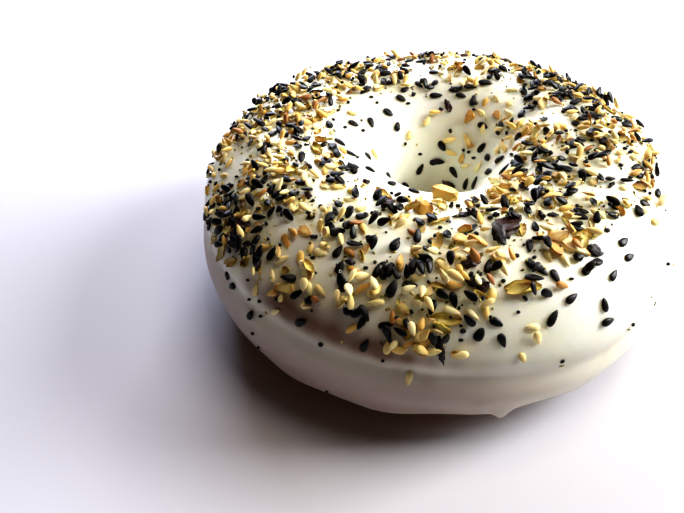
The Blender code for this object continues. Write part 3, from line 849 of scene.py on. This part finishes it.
def cover_at(ring, tube, points):
    """The seasoning's cover and its share of black seeds."""
    ring_deg, tube_deg = np.degrees((ring + math.pi) % (2 * math.pi) - math.pi), np.degrees(tube)
    rows = np.array(STATIONS + ((180.0, *STATIONS[0][1:]),))
    lowest, highest, cover = (np.interp(ring_deg, rows[:, 0], rows[:, part]) for part in (1, 2, 3))
    edge = np.clip(np.minimum(tube_deg - lowest, highest - tube_deg) / EDGE_FADE + 0.5, 0.0, 1.0)
    share = np.full(len(points), BLACK_SHARE)
    for x, y, reach, extra, black_share in DRIFTS:
        weight = near(points, place_of(x, y), reach)
        cover = cover + extra * weight
        share = share + (black_share - share) * weight
    for x, y, reach in BARE_SPOTS:
        cover = cover * (1.0 - near(points, place_of(x, y), reach))
    return cover * edge, share


print("drifts:", len(DRIFTS), "bare spots:", len(BARE_SPOTS))

# %% [markdown]
# ## Strewing the rest
# Each kind is strewn in turn, the large ones first, as they would land in a shaker's mix that has
# settled. A piece that lands where others lie stays there only sometimes, and never on a full pile, as
# the real ones slide off. All the odds come from one seeded generator, so each run gives the same heap.

# %% Scatter
SEEDS_PER_MM2 = 0.225  # sesame seeds where the cover is 1
# How many of each other kind there are for each sesame seed, the large kinds first.
LARGE_SHARES = (("garlic", 0.10), ("brown", 0.08), ("onion", 0.13))
SMALL_SHARES = (("poppy", 0.34), ("salt", 0.06), ("crumb", 1.45))
STRAY_COVER = 0.02  # the least cover of the small kinds, which stray over all the icing
PLACES_TRIED = 9000
STREWN_LOW, STREWN_HIGH = 8.0, 165.0  # degrees of tube angle
TAKEN_ABOVE = 0.0004  # where more than this lies, a place counts as taken
LEAN_ODDS = 0.46  # how often a piece stays on a place that is taken
HIGHEST_PILE = 0.0014  # nothing stays where the others lie higher than this
HIGHEST_PLACE = cad_box[1][2] - 0.0002  # nothing is laid on what is already as high as the solids


def draw_places(count):
    """Places spread evenly over the icing above its edges, and the area in mm2 that they cover."""
    ring = draw.uniform(0.0, 2 * math.pi, count)
    tube = draw.uniform(math.radians(STREWN_LOW), math.radians(STREWN_HIGH), count)
    points, _, _, _, ring_stretch, tube_stretch = surface_frames(ring, tube)
    area = ring_stretch * tube_stretch
    kept = draw.random(count) < area / area.max()
    whole = area.mean() * 2 * math.pi * math.radians(STREWN_HIGH - STREWN_LOW)
    return ring[kept], tube[kept], points[kept], whole / MM**2


def scatter(kind_at, per_mm2, least_cover=0.0):
    """Lays pieces at this density times the cover. kind_at(black share) names the kind."""
    ring, tube, points, area = draw_places(PLACES_TRIED)
    cover, share = cover_at(ring, tube, points)
    odds = np.maximum(cover, least_cover) * per_mm2 * area / len(ring)
    laid = 0
    for index in np.flatnonzero(draw.random(len(ring)) < odds):
        cell = (round(ring[index] / RING_CELL) % RING_CELLS, round((tube[index] - TUBE_LOW) / TUBE_CELL))
        height = ground[cell]
        over_top = points[index, 2] + height > HIGHEST_PLACE
        if over_top or height > HIGHEST_PILE or (height > TAKEN_ABOVE and draw.random() > LEAN_ODDS):
            continue
        lay(kind_at(share[index]), ring[index], tube[index], draw.uniform(0, 2 * math.pi))
        laid += 1
    return laid


large = [scatter(lambda share, kind=kind: kind, SEEDS_PER_MM2 * part) for kind, part in LARGE_SHARES]
seeds = scatter(lambda share: "black" if draw.random() < share else "pale", SEEDS_PER_MM2)
small = [scatter(lambda share, kind=kind: kind, SEEDS_PER_MM2 * part, STRAY_COVER)
         for kind, part in SMALL_SHARES]
print("strewn:", large, seeds, small, "highest pile", round(ground.max() * 1000, 2), "mm")

# %% [markdown]
# ## Shader helpers
# A colour is written as an sRGB hex value, as a paint chip or a picture shows it, and turned to
# the linear value that the renderer adds up. One function adds a node with its settings and links.

# %% Shader helpers


def linear(hex_colour):
    """An sRGB hex colour as linear red, green, blue and alpha."""
    parts = [int(hex_colour[at:at + 2], 16) / 255 for at in (1, 3, 5)]
    return (*[c / 12.92 if c <= 0.04045 else ((c + 0.055) / 1.055) ** 2.4 for c in parts], 1.0)


def add_node(tree, kind, inputs=None, stops=(), **settings):
    """A shader node. Each input is a value or another node's output, and a colour ramp has stops."""
    node = tree.nodes.new("ShaderNode" + kind)
    for key, value in settings.items():
        setattr(node, key, value)
    if stops:
        while len(node.color_ramp.elements) < len(stops):
            node.color_ramp.elements.new(0.5)
        for element, (position, colour) in zip(node.color_ramp.elements, stops):
            element.position, element.color = position, linear(colour)
    for key, value in (inputs or {}).items():
        if isinstance(value, bpy.types.NodeSocket):
            tree.links.new(value, node.inputs[key])
        else:
            node.inputs[key].default_value = value
    return node


def new_material(name, **values):
    """A Principled material with plain values on its sockets, its tree, shader and coordinates."""
    made = bpy.data.materials.new(name)
    made.use_nodes = True
    tree = made.node_tree
    shader = tree.nodes["Principled BSDF"]
    for key, value in values.items():
        shader.inputs[key.replace("_", " ")].default_value = value
    place = add_node(tree, "TexCoord").outputs["Object"]
    return made, tree, shader, place


print("mid grey #808080 is", round(linear("#808080")[0], 3), "in linear values")

# %% [markdown]
# ## Poured icing
# The icing is sugar and fat, poured warm and set without a crust: white, satin, and a little
# see-through, so that light spreads two to three millimetres inside it. It goes slightly yellow where
# seasoning has dusted it. Down the near and left flank a grey-mauve tint is partly icing run thinner
# over the crust and partly painted shade, less towards the lit +X side, and the lip's edge is left
# white as a painted highlight. Brown spots are partly crust showing through and partly painted shade
# above the crease, in the hole and on the left flank. These tints are mixed in by values on the mesh,
# which the next step gives. Its cloudiness varies over about 11 mm, and a 1.4 mm grain breaks up the
# highlights.

# %% Poured icing
icing_finish, tree, shader, place = new_material(
    "poured_icing", IOR=1.47, Subsurface_Weight=0.6, Subsurface_Scale=0.0030)
shader.inputs["Subsurface Radius"].default_value = (1.0, 0.8, 0.55)
cloud = add_node(tree, "TexNoise", {"Vector": place, "Scale": 1 / (11 * MM), "Detail": 4.0})
white = add_node(
    tree, "ValToRGB", {"Fac": cloud.outputs["Fac"]}, stops=((0.35, "#F4F1DA"), (0.65, "#FAF9E9")))
dusted = add_node(tree, "Attribute", attribute_name="dusted")
dusty = add_node(
    tree, "Mix", {0: dusted.outputs["Fac"], 6: white.outputs["Color"], 7: linear("#E8DDA0")},
    data_type="RGBA")
# Grey-mauve tint down the near and left flank: partly icing run thin, partly painted shade; none at the
# lip's white edge, a painted highlight.
thin_run_and_shade = add_node(tree, "Attribute", attribute_name="thin_run_and_shade")
flank = add_node(
    tree, "Mix", {0: thin_run_and_shade.outputs["Fac"], 6: dusty.outputs[2], 7: linear("#BBAAA0")}, data_type="RGBA")
# Brown tint: partly crust showing through thin icing, partly painted shade above the crease, in the hole
# and on the left flank.
crust_and_shade = add_node(tree, "Attribute", attribute_name="crust_and_shade")
colour = add_node(
    tree, "Mix", {0: crust_and_shade.outputs["Fac"], 6: flank.outputs[2], 7: linear("#7C5632")}, data_type="RGBA")
tree.links.new(colour.outputs[2], shader.inputs["Base Color"])
gloss = add_node(tree, "MapRange", {"Value": cloud.outputs["Fac"], "To Min": 0.27, "To Max": 0.42})
tree.links.new(gloss.outputs["Result"], shader.inputs["Roughness"])
grain = add_node(tree, "TexNoise", {"Vector": place, "Scale": 1 / (1.4 * MM), "Detail": 3.0})
bump = add_node(tree, "Bump", {"Height": grain.outputs["Fac"], "Strength": 0.25, "Distance": 0.00006})
tree.links.new(bump.outputs["Normal"], shader.inputs["Normal"])
icing.data.materials.append(icing_finish)
print(icing_finish.name + ":", len(tree.nodes), "nodes")

# %% [markdown]
# ## Where the icing is thin, dusted or painted with shade
# The finish needs to know where the crust shows through, where seasoning has dusted the icing, how
# far it has run thin down the flank, and where shade is painted on: grey-mauve down the near flank, and
# brown above the crease, in the hole and on the left flank. A painted texture could say so. Values on
# the points, worked out from named places and heights, need no picture file and are easily changed.

# %% Values on the icing's points
# x and y in the picture, in pixels; reach in mm and strength of brown spots. The first four are crust
# showing through; the rest are painted shade above the crease, in the hole and on the left flank.
CRUST_AND_SHADE_SPOTS = (
    (398, 371, 1.3, 0.26), (480, 404, 1.8, 0.22), (427, 381, 1.6, 0.26), (606, 351, 1.3, 0.18),
    (250, 286, 2.8, 0.62), (268, 301, 3.0, 0.78), (288, 315, 3.0, 0.84), (310, 328, 3.0, 0.78),
    (334, 338, 3.0, 0.78), (358, 347, 2.8, 0.84), (384, 354, 2.6, 0.95), (408, 359, 2.4, 0.90),
    (432, 362, 2.2, 0.60), (456, 365, 2.0, 0.34), (285, 297, 3.4, 0.50), (310, 312, 3.2, 0.32),
    (335, 322, 3.4, 0.40), (375, 341, 3.0, 0.42), (480, 370, 4.5, 0.24), (430, 186, 5.0, 0.16),
    (222, 262, 4.0, 0.16),
)
MOST_DUST = 0.34  # where the cover is full
FLANK_TINT_FROM, FLANK_TINT_TO = 0.0270, 0.0150  # heights on the flank where the grey-mauve tint begins and is strongest: partly thinner icing, partly painted shade
FLANK_RADIUS = 0.032  # what lies further in than this gets no flank tint
LIT_SIDE_FROM, LIT_SIDE_TO, LIT_SIDE_LESS = 0.004, 0.034, 0.7  # towards the lit +X side there is less painted shade
LIP_HIGHLIGHT_WIDTH = 0.0014  # the lip's edge is left white, a painted highlight where its rim catches the light


def mark_icing(name, numbers):
    """Puts a number on each point of the icing, for its finish to read."""
    icing.data.attributes.new(name, "FLOAT", "POINT").data.foreach_set("value", np.ravel(numbers))


at = np.array([vertex.co for vertex in icing.data.vertices])
crust_and_shade_amount = sum(near(at, place_of(x, y), reach) * strength for x, y, reach, strength in CRUST_AND_SHADE_SPOTS)
crust_and_shade_amount = np.clip(crust_and_shade_amount, 0, 1)
mark_icing("crust_and_shade", crust_and_shade_amount)

over_columns = len(OVER)
face_ring = np.repeat(np.linspace(0.0, 2 * math.pi, ICING_ROWS, endpoint=False), over_columns)
face_cover = cover_at(face_ring, tube_over.ravel(), face.reshape(-1, 3))[0]
dust = np.zeros(points.shape[:2])
dust[:, :over_columns] = np.clip(face_cover, 0, 1).reshape(ICING_ROWS, over_columns) * MOST_DUST
mark_icing("dusted", dust)

# Grey-mauve flank tint: partly icing run thin, partly painted shade; less on the lit +X side, none at the
# lip's edge, kept white as a painted highlight.
on_flank = np.hypot(at[:, 0], at[:, 1]) > FLANK_RADIUS
run_and_shade = np.clip((FLANK_TINT_FROM - at[:, 2]) / (FLANK_TINT_FROM - FLANK_TINT_TO), 0, 1) * on_flank
run_and_shade = run_and_shade * run_and_shade * (3 - 2 * run_and_shade)
run_and_shade *= 1.0 - LIT_SIDE_LESS * np.clip((at[:, 0] - LIT_SIDE_FROM) / (LIT_SIDE_TO - LIT_SIDE_FROM), 0, 1)
run_and_shade.reshape(ICING_ROWS, -1)[:, :over_columns] *= 1.0 - np.exp(-((OVER * SECTION_LENGTH / LIP_HIGHLIGHT_WIDTH) ** 2))
mark_icing("thin_run_and_shade", run_and_shade)
print("icing values up to:", round(crust_and_shade_amount.max(), 2), round(dust.max(), 2), round(run_and_shade.max(), 2))

# %% [markdown]
# ## Fried crust
# The crust is yeast dough browned in hot fat: golden to nut brown in soft blotches about 7 mm wide, with
# a slight oily gloss and pores of just under 1 mm.

# %% Fried crust
crust_finish, tree, shader, place = new_material(
    "fried_crust", IOR=1.45, Subsurface_Weight=0.08, Subsurface_Scale=0.001)
blotch = add_node(tree, "TexNoise", {"Vector": place, "Scale": 1 / (7 * MM), "Detail": 6.0})
brown = add_node(
    tree, "ValToRGB", {"Fac": blotch.outputs["Fac"]},
    stops=((0.3, "#6B3D1C"), (0.55, "#94592B"), (0.75, "#B67C42")))
tree.links.new(brown.outputs["Color"], shader.inputs["Base Color"])
oil = add_node(tree, "MapRange", {"Value": blotch.outputs["Fac"], "To Min": 0.65, "To Max": 0.40})
tree.links.new(oil.outputs["Result"], shader.inputs["Roughness"])
pores = add_node(tree, "TexNoise", {"Vector": place, "Scale": 1 / (0.9 * MM), "Detail": 5.0})
bump = add_node(tree, "Bump", {"Height": pores.outputs["Fac"], "Strength": 0.5, "Distance": 0.00015})
tree.links.new(bump.outputs["Normal"], shader.inputs["Normal"])
dough.data.materials.append(crust_finish)
print(crust_finish.name + ":", len(tree.nodes), "nodes")

# %% [markdown]
# ## Toasted sesame
# Hulled sesame seeds, toasted in a dry pan: cream to gold, a few nearly brown, and darker at the point,
# where the seed is thinnest. Each seed's tone value picks its roast. All the toppings are plant matter
# or salt, so their IOR is 1.45 to 1.54 and none is metal. The husk's gloss varies over about 1 mm.

# %% Toasted sesame
pale_finish, tree, shader, place = new_material(
    "toasted_sesame", IOR=1.47, Subsurface_Weight=0.25, Subsurface_Scale=0.0005)
tone = add_node(tree, "Attribute", attribute_name="tone")
tip = add_node(tree, "Attribute", attribute_name="tip")
roast = add_node(
    tree, "ValToRGB", {"Fac": tone.outputs["Fac"]},
    stops=((0.0, "#FBF1BC"), (0.45, "#F4E098"), (0.75, "#E8C974"), (0.92, "#CD9C4E"), (1.0, "#976333")))
mottle = add_node(tree, "TexNoise", {"Vector": place, "Scale": 1 / (1.1 * MM), "Detail": 3.0})
darker = add_node(tree, "MapRange", {"Value": tip.outputs["Fac"], "From Min": 0.6, "To Max": 0.35})
toasted = add_node(
    tree, "Mix", {0: darker.outputs["Result"], 6: roast.outputs["Color"], 7: linear("#BC8C48")},
    data_type="RGBA")
tree.links.new(toasted.outputs[2], shader.inputs["Base Color"])
husk = add_node(tree, "MapRange", {"Value": mottle.outputs["Fac"], "To Min": 0.35, "To Max": 0.6})
tree.links.new(husk.outputs["Result"], shader.inputs["Roughness"])
print(pale_finish.name + ":", len(tree.nodes), "nodes")

# %% [markdown]
# ## Black sesame
# Unhulled black sesame keeps its seed coat: a dull black skin with fine pits. A flat black would lose
# the form, so a painted highlight greys the rim a little, and the pits scatter the highlight.
# Real pits are under 0.1 mm across, too fine to show, so they are drawn 0.2 mm across. An IOR of 1.45
# is usual for a dry seed coat, which holds some oil.

# %% Black sesame
black_finish, tree, shader, place = new_material("black_sesame", IOR=1.45, Specular_IOR_Level=0.35)
tone = add_node(tree, "Attribute", attribute_name="tone")
hull = add_node(
    tree, "ValToRGB", {"Fac": tone.outputs["Fac"]},
    stops=((0.0, "#060606"), (0.7, "#0B0B0B"), (1.0, "#171412")))
# Painted highlight: a grey tint along each black seed's rim, standing for the light it catches.
seed_outline_value = add_node(tree, "Attribute", attribute_name="edge")
painted_rim_highlight = add_node(tree, "MapRange", {"Value": seed_outline_value.outputs["Fac"], "To Max": 0.40})
rim_highlighted_hull = add_node(
    tree, "Mix", {0: painted_rim_highlight.outputs["Result"], 6: hull.outputs["Color"], 7: linear("#2A2823")},
    data_type="RGBA")
tree.links.new(rim_highlighted_hull.outputs[2], shader.inputs["Base Color"])
pits = add_node(tree, "TexVoronoi", {"Vector": place, "Scale": 1 / (0.2 * MM)}, feature="DISTANCE_TO_EDGE")
sheen = add_node(tree, "TexNoise", {"Vector": place, "Scale": 1 / (0.8 * MM), "Detail": 2.0})
matt = add_node(tree, "MapRange", {"Value": sheen.outputs["Fac"], "To Min": 0.30, "To Max": 0.48})
tree.links.new(matt.outputs["Result"], shader.inputs["Roughness"])
bump = add_node(tree, "Bump", {"Height": pits.outputs["Distance"], "Strength": 0.4, "Distance": 0.00005})
tree.links.new(bump.outputs["Normal"], shader.inputs["Normal"])
print(black_finish.name + ":", len(tree.nodes), "nodes")

# %% [markdown]
# ## Poppy seed
# A poppy seed is slate grey to black, with a net over its skin. On a seed 1 mm long the net's cells are
# about 0.1 mm wide. They are drawn coarser, at 0.17 mm, so that they still show. Voronoi edges
# give the net, which is rougher than the skin between.

# %% Poppy seed
poppy_finish, tree, shader, place = new_material("poppy_seed", IOR=1.47)
tone = add_node(tree, "Attribute", attribute_name="tone")
slate = add_node(tree, "ValToRGB", {"Fac": tone.outputs["Fac"]}, stops=((0.0, "#0B0B0D"), (1.0, "#1E1E22")))
tree.links.new(slate.outputs["Color"], shader.inputs["Base Color"])
cells = add_node(
    tree, "TexVoronoi", {"Vector": place, "Scale": 1 / (0.17 * MM)}, feature="DISTANCE_TO_EDGE")
rough = add_node(tree, "MapRange", {"Value": cells.outputs["Distance"], "To Min": 0.75, "To Max": 0.45})
tree.links.new(rough.outputs["Result"], shader.inputs["Roughness"])
bump = add_node(tree, "Bump", {"Height": cells.outputs["Distance"], "Strength": 0.6, "Distance": 0.00006})
tree.links.new(bump.outputs["Normal"], shader.inputs["Normal"])
print(poppy_finish.name + ":", len(tree.nodes), "nodes")

# %% [markdown]
# ## Dried garlic
# Garlic is cut, dried and toasted: cream to gold flesh, browner where an edge was thin. The edge value
# from the mesh is multiplied with a 2 mm noise, so that only some edges are scorched. Dried flesh lets
# light in a little way, which subsurface scattering over 0.8 mm gives.

# %% Dried garlic
garlic_finish, tree, shader, place = new_material(
    "dried_garlic", IOR=1.48, Subsurface_Weight=0.3, Subsurface_Scale=0.0008)
tone = add_node(tree, "Attribute", attribute_name="tone")
edge_value = add_node(tree, "Attribute", attribute_name="edge")
cream = add_node(
    tree, "ValToRGB", {"Fac": tone.outputs["Fac"]},
    stops=((0.0, "#F6EEB6"), (0.55, "#EEDC8C"), (0.85, "#E4C878"), (1.0, "#CFA452")))
scorch = add_node(tree, "TexNoise", {"Vector": place, "Scale": 1 / (1.9 * MM), "Detail": 4.0})
burnt = add_node(
    tree, "Math", {0: edge_value.outputs["Fac"], 1: scorch.outputs["Fac"]}, operation="MULTIPLY")
burnt_range = add_node(
    tree, "MapRange", {"Value": burnt.outputs[0], "From Min": 0.25, "From Max": 0.52, "To Max": 0.8})
colour = add_node(
    tree, "Mix", {0: burnt_range.outputs["Result"], 6: cream.outputs["Color"], 7: linear("#A8742F")},
    data_type="RGBA")
tree.links.new(colour.outputs[2], shader.inputs["Base Color"])
waxy = add_node(tree, "MapRange", {"Value": scorch.outputs["Fac"], "To Min": 0.35, "To Max": 0.6})
tree.links.new(waxy.outputs["Result"], shader.inputs["Roughness"])
print(garlic_finish.name + ":", len(tree.nodes), "nodes")

# %% [markdown]
# ## Dried onion
# Onion dries to thin curled flakes, pale green to amber, with a papery gloss from its skin. The tone
# value picks the roast for each flake, and the edge is darker, as it dries first. The 1.1 mm veins only
# change the gloss.

# %% Dried onion
onion_finish, tree, shader, place = new_material(
    "dried_onion", IOR=1.47, Subsurface_Weight=0.2, Subsurface_Scale=0.0006)
tone = add_node(tree, "Attribute", attribute_name="tone")
edge_value = add_node(tree, "Attribute", attribute_name="edge")
amber = add_node(
    tree, "ValToRGB", {"Fac": tone.outputs["Fac"]},
    stops=((0.0, "#EFEAAE"), (0.35, "#DFD47E"), (0.65, "#DCC46A"), (0.88, "#B8924C"), (1.0, "#6E4C28")))
colour = add_node(
    tree, "Mix", {0: edge_value.outputs["Fac"], 6: amber.outputs["Color"], 7: linear("#A8903E")},
    data_type="RGBA")
tree.links.new(colour.outputs[2], shader.inputs["Base Color"])
veins = add_node(tree, "TexNoise", {"Vector": place, "Scale": 1 / (1.1 * MM), "Detail": 3.0})
skin = add_node(tree, "MapRange", {"Value": veins.outputs["Fac"], "To Min": 0.28, "To Max": 0.55})
tree.links.new(skin.outputs["Result"], shader.inputs["Roughness"])
print(onion_finish.name + ":", len(tree.nodes), "nodes")

# %% [markdown]
# ## Browned onion
# Onion that was toasted until nearly black turns crisp and blistered. It is dark brown rather than
# black, so that it can be told from the seeds, with blisters about 0.9 mm across as a bump.

# %% Browned onion
brown_finish, tree, shader, place = new_material("browned_onion", IOR=1.48)
tone = add_node(tree, "Attribute", attribute_name="tone")
char = add_node(
    tree, "ValToRGB", {"Fac": tone.outputs["Fac"]},
    stops=((0.0, "#0D0807"), (0.7, "#1B100C"), (1.0, "#48281A")))
tree.links.new(char.outputs["Color"], shader.inputs["Base Color"])
crisp = add_node(tree, "TexNoise", {"Vector": place, "Scale": 1 / (0.9 * MM), "Detail": 4.0})
glaze = add_node(tree, "MapRange", {"Value": crisp.outputs["Fac"], "To Min": 0.34, "To Max": 0.62})
tree.links.new(glaze.outputs["Result"], shader.inputs["Roughness"])
bump = add_node(tree, "Bump", {"Height": crisp.outputs["Fac"], "Strength": 0.6, "Distance": 0.00012})
tree.links.new(bump.outputs["Normal"], shader.inputs["Normal"])
print(brown_finish.name + ":", len(tree.nodes), "nodes")

# %% [markdown]
# ## Coarse salt
# Salt crystals are clear with broken faces, so they are mostly glass with an IOR of 1.54. A fine frost
# 0.7 mm across varies their tint, which keeps them from vanishing on the white icing.

# %% Coarse salt
salt_finish, tree, shader, place = new_material(
    "coarse_salt", IOR=1.54, Transmission_Weight=0.85, Roughness=0.12)
frost = add_node(tree, "TexNoise", {"Vector": place, "Scale": 1 / (0.7 * MM)})
clear = add_node(
    tree, "ValToRGB", {"Fac": frost.outputs["Fac"]}, stops=((0.3, "#E8E8E2"), (0.7, "#FBFBF8")))
tree.links.new(clear.outputs["Color"], shader.inputs["Base Color"])
print(salt_finish.name + ":", len(tree.nodes), "nodes")

# %% [markdown]
# ## Seasoning crumbs
# What breaks off in the jar falls too: bits of seed, skin and garlic, mostly under 1 mm. Each has one
# tone on the same ramp, from black to pale yellow-green, and they are rough all over like dust.

# %% Seasoning crumbs
crumb_finish, tree, shader, place = new_material("seasoning_crumbs", IOR=1.45)
tone = add_node(tree, "Attribute", attribute_name="tone")
mixed = add_node(
    tree, "ValToRGB", {"Fac": tone.outputs["Fac"]},
    stops=((0.0, "#1A1512"), (0.3, "#5B4520"), (0.5, "#8F8A3E"), (0.7, "#C9B45A"), (1.0, "#E9D999")))
tree.links.new(mixed.outputs["Color"], shader.inputs["Base Color"])
dusty_value = add_node(tree, "TexNoise", {"Vector": place, "Scale": 1 / (0.5 * MM)})
dusty_rough = add_node(
    tree, "MapRange", {"Value": dusty_value.outputs["Fac"], "To Min": 0.5, "To Max": 0.85})
tree.links.new(dusty_rough.outputs["Result"], shader.inputs["Roughness"])
print(crumb_finish.name + ":", len(tree.nodes), "nodes")

# %% [markdown]
# ## One mesh for each kind
# Each heap is turned into a single mesh with its finish. The icing and the dough take the place
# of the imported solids, and every piece rides on the part's one body.

# %% Join the heaps
FINISHES = {
    "garlic": garlic_finish, "brown": brown_finish, "onion": onion_finish, "pale": pale_finish,
    "black": black_finish, "poppy": poppy_finish, "salt": salt_finish, "crumb": crumb_finish,
}
for kind, heap in HEAPS.items():
    heap.join().data.materials.append(FINISHES[kind])
for piece, node, slot in ((icing, "icing", "white_icing"), (dough, "dough", "fried_dough")):
    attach(piece, "root")
    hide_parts(node)

# %% [markdown]
# ## The board
# The doughnut lies on a plain pale board. A textured board would be seen more than the food, so this is
# one flat plane with one rough, slightly cool white.

# %% Floor
BOARD_WIDTH = 4.0  # so wide that its edge is far outside the picture
bpy.ops.mesh.primitive_plane_add(size=BOARD_WIDTH)
floor = bpy.context.object
floor.name = "board"
board_finish, tree, shader, place = new_material("pale_board", Roughness=0.6, IOR=1.45)
shader.inputs["Base Color"].default_value = linear("#D0D1D8")
floor.data.materials.append(board_finish)
print(board_finish.name + ":", BOARD_WIDTH, "m wide")

# %% [markdown]
# ## Light
# Daylight from two windows, low on the right and behind, makes two soft shadows, to the left and to the
# front, and leaves the near flank in shade. A weak lamp overhead stands for the ceiling, and the room
# itself gives a faint warm glow. Area lamps are used because their size alone sets how soft a shadow
# is. Shade deepens in a picture with high contrast, so that look is set too.

# %% Light
LAMP_DISTANCE = 0.85
ROOM_GLOW = 0.034


def add_window(name, azimuth_deg, height_deg, width, tall, power, colour):
    """A rectangular lamp that faces the middle of the doughnut."""
    azimuth, height = math.radians(azimuth_deg), math.radians(height_deg)
    level = math.cos(height)
    toward = Vector((math.cos(azimuth) * level, math.sin(azimuth) * level, math.sin(height)))
    lamp = bpy.data.lights.new(name, "AREA")
    lamp.shape = "RECTANGLE"
    lamp.size, lamp.size_y = width, tall
    lamp.energy = power
    lamp.color = linear(colour)[:3]
    window = bpy.data.objects.new(name, lamp)
    window.location = toward * LAMP_DISTANCE
    window.rotation_euler = toward.to_track_quat("Z", "Y").to_euler()
    bpy.context.scene.collection.objects.link(window)


add_window("window", 18.0, 30.0, 0.38, 0.46, 9.6, "#FFFFFF")
add_window("side_window", 104.0, 27.0, 0.60, 0.34, 7.5, "#E8EDFF")
add_window("ceiling", 30.0, 74.0, 0.40, 0.40, 2.4, "#FFF2E6")

room = bpy.data.worlds.new("room")
bpy.context.scene.world = room
room.use_nodes = True
room.node_tree.nodes["Background"].inputs["Color"].default_value = linear("#FFC49C")
room.node_tree.nodes["Background"].inputs["Strength"].default_value = ROOM_GLOW
bpy.context.scene.view_settings.view_transform = "Standard"
bpy.context.scene.view_settings.look = "High Contrast"
print("lamps:", {lamp.name: round(lamp.energy, 1) for lamp in bpy.data.lights}, "watts")
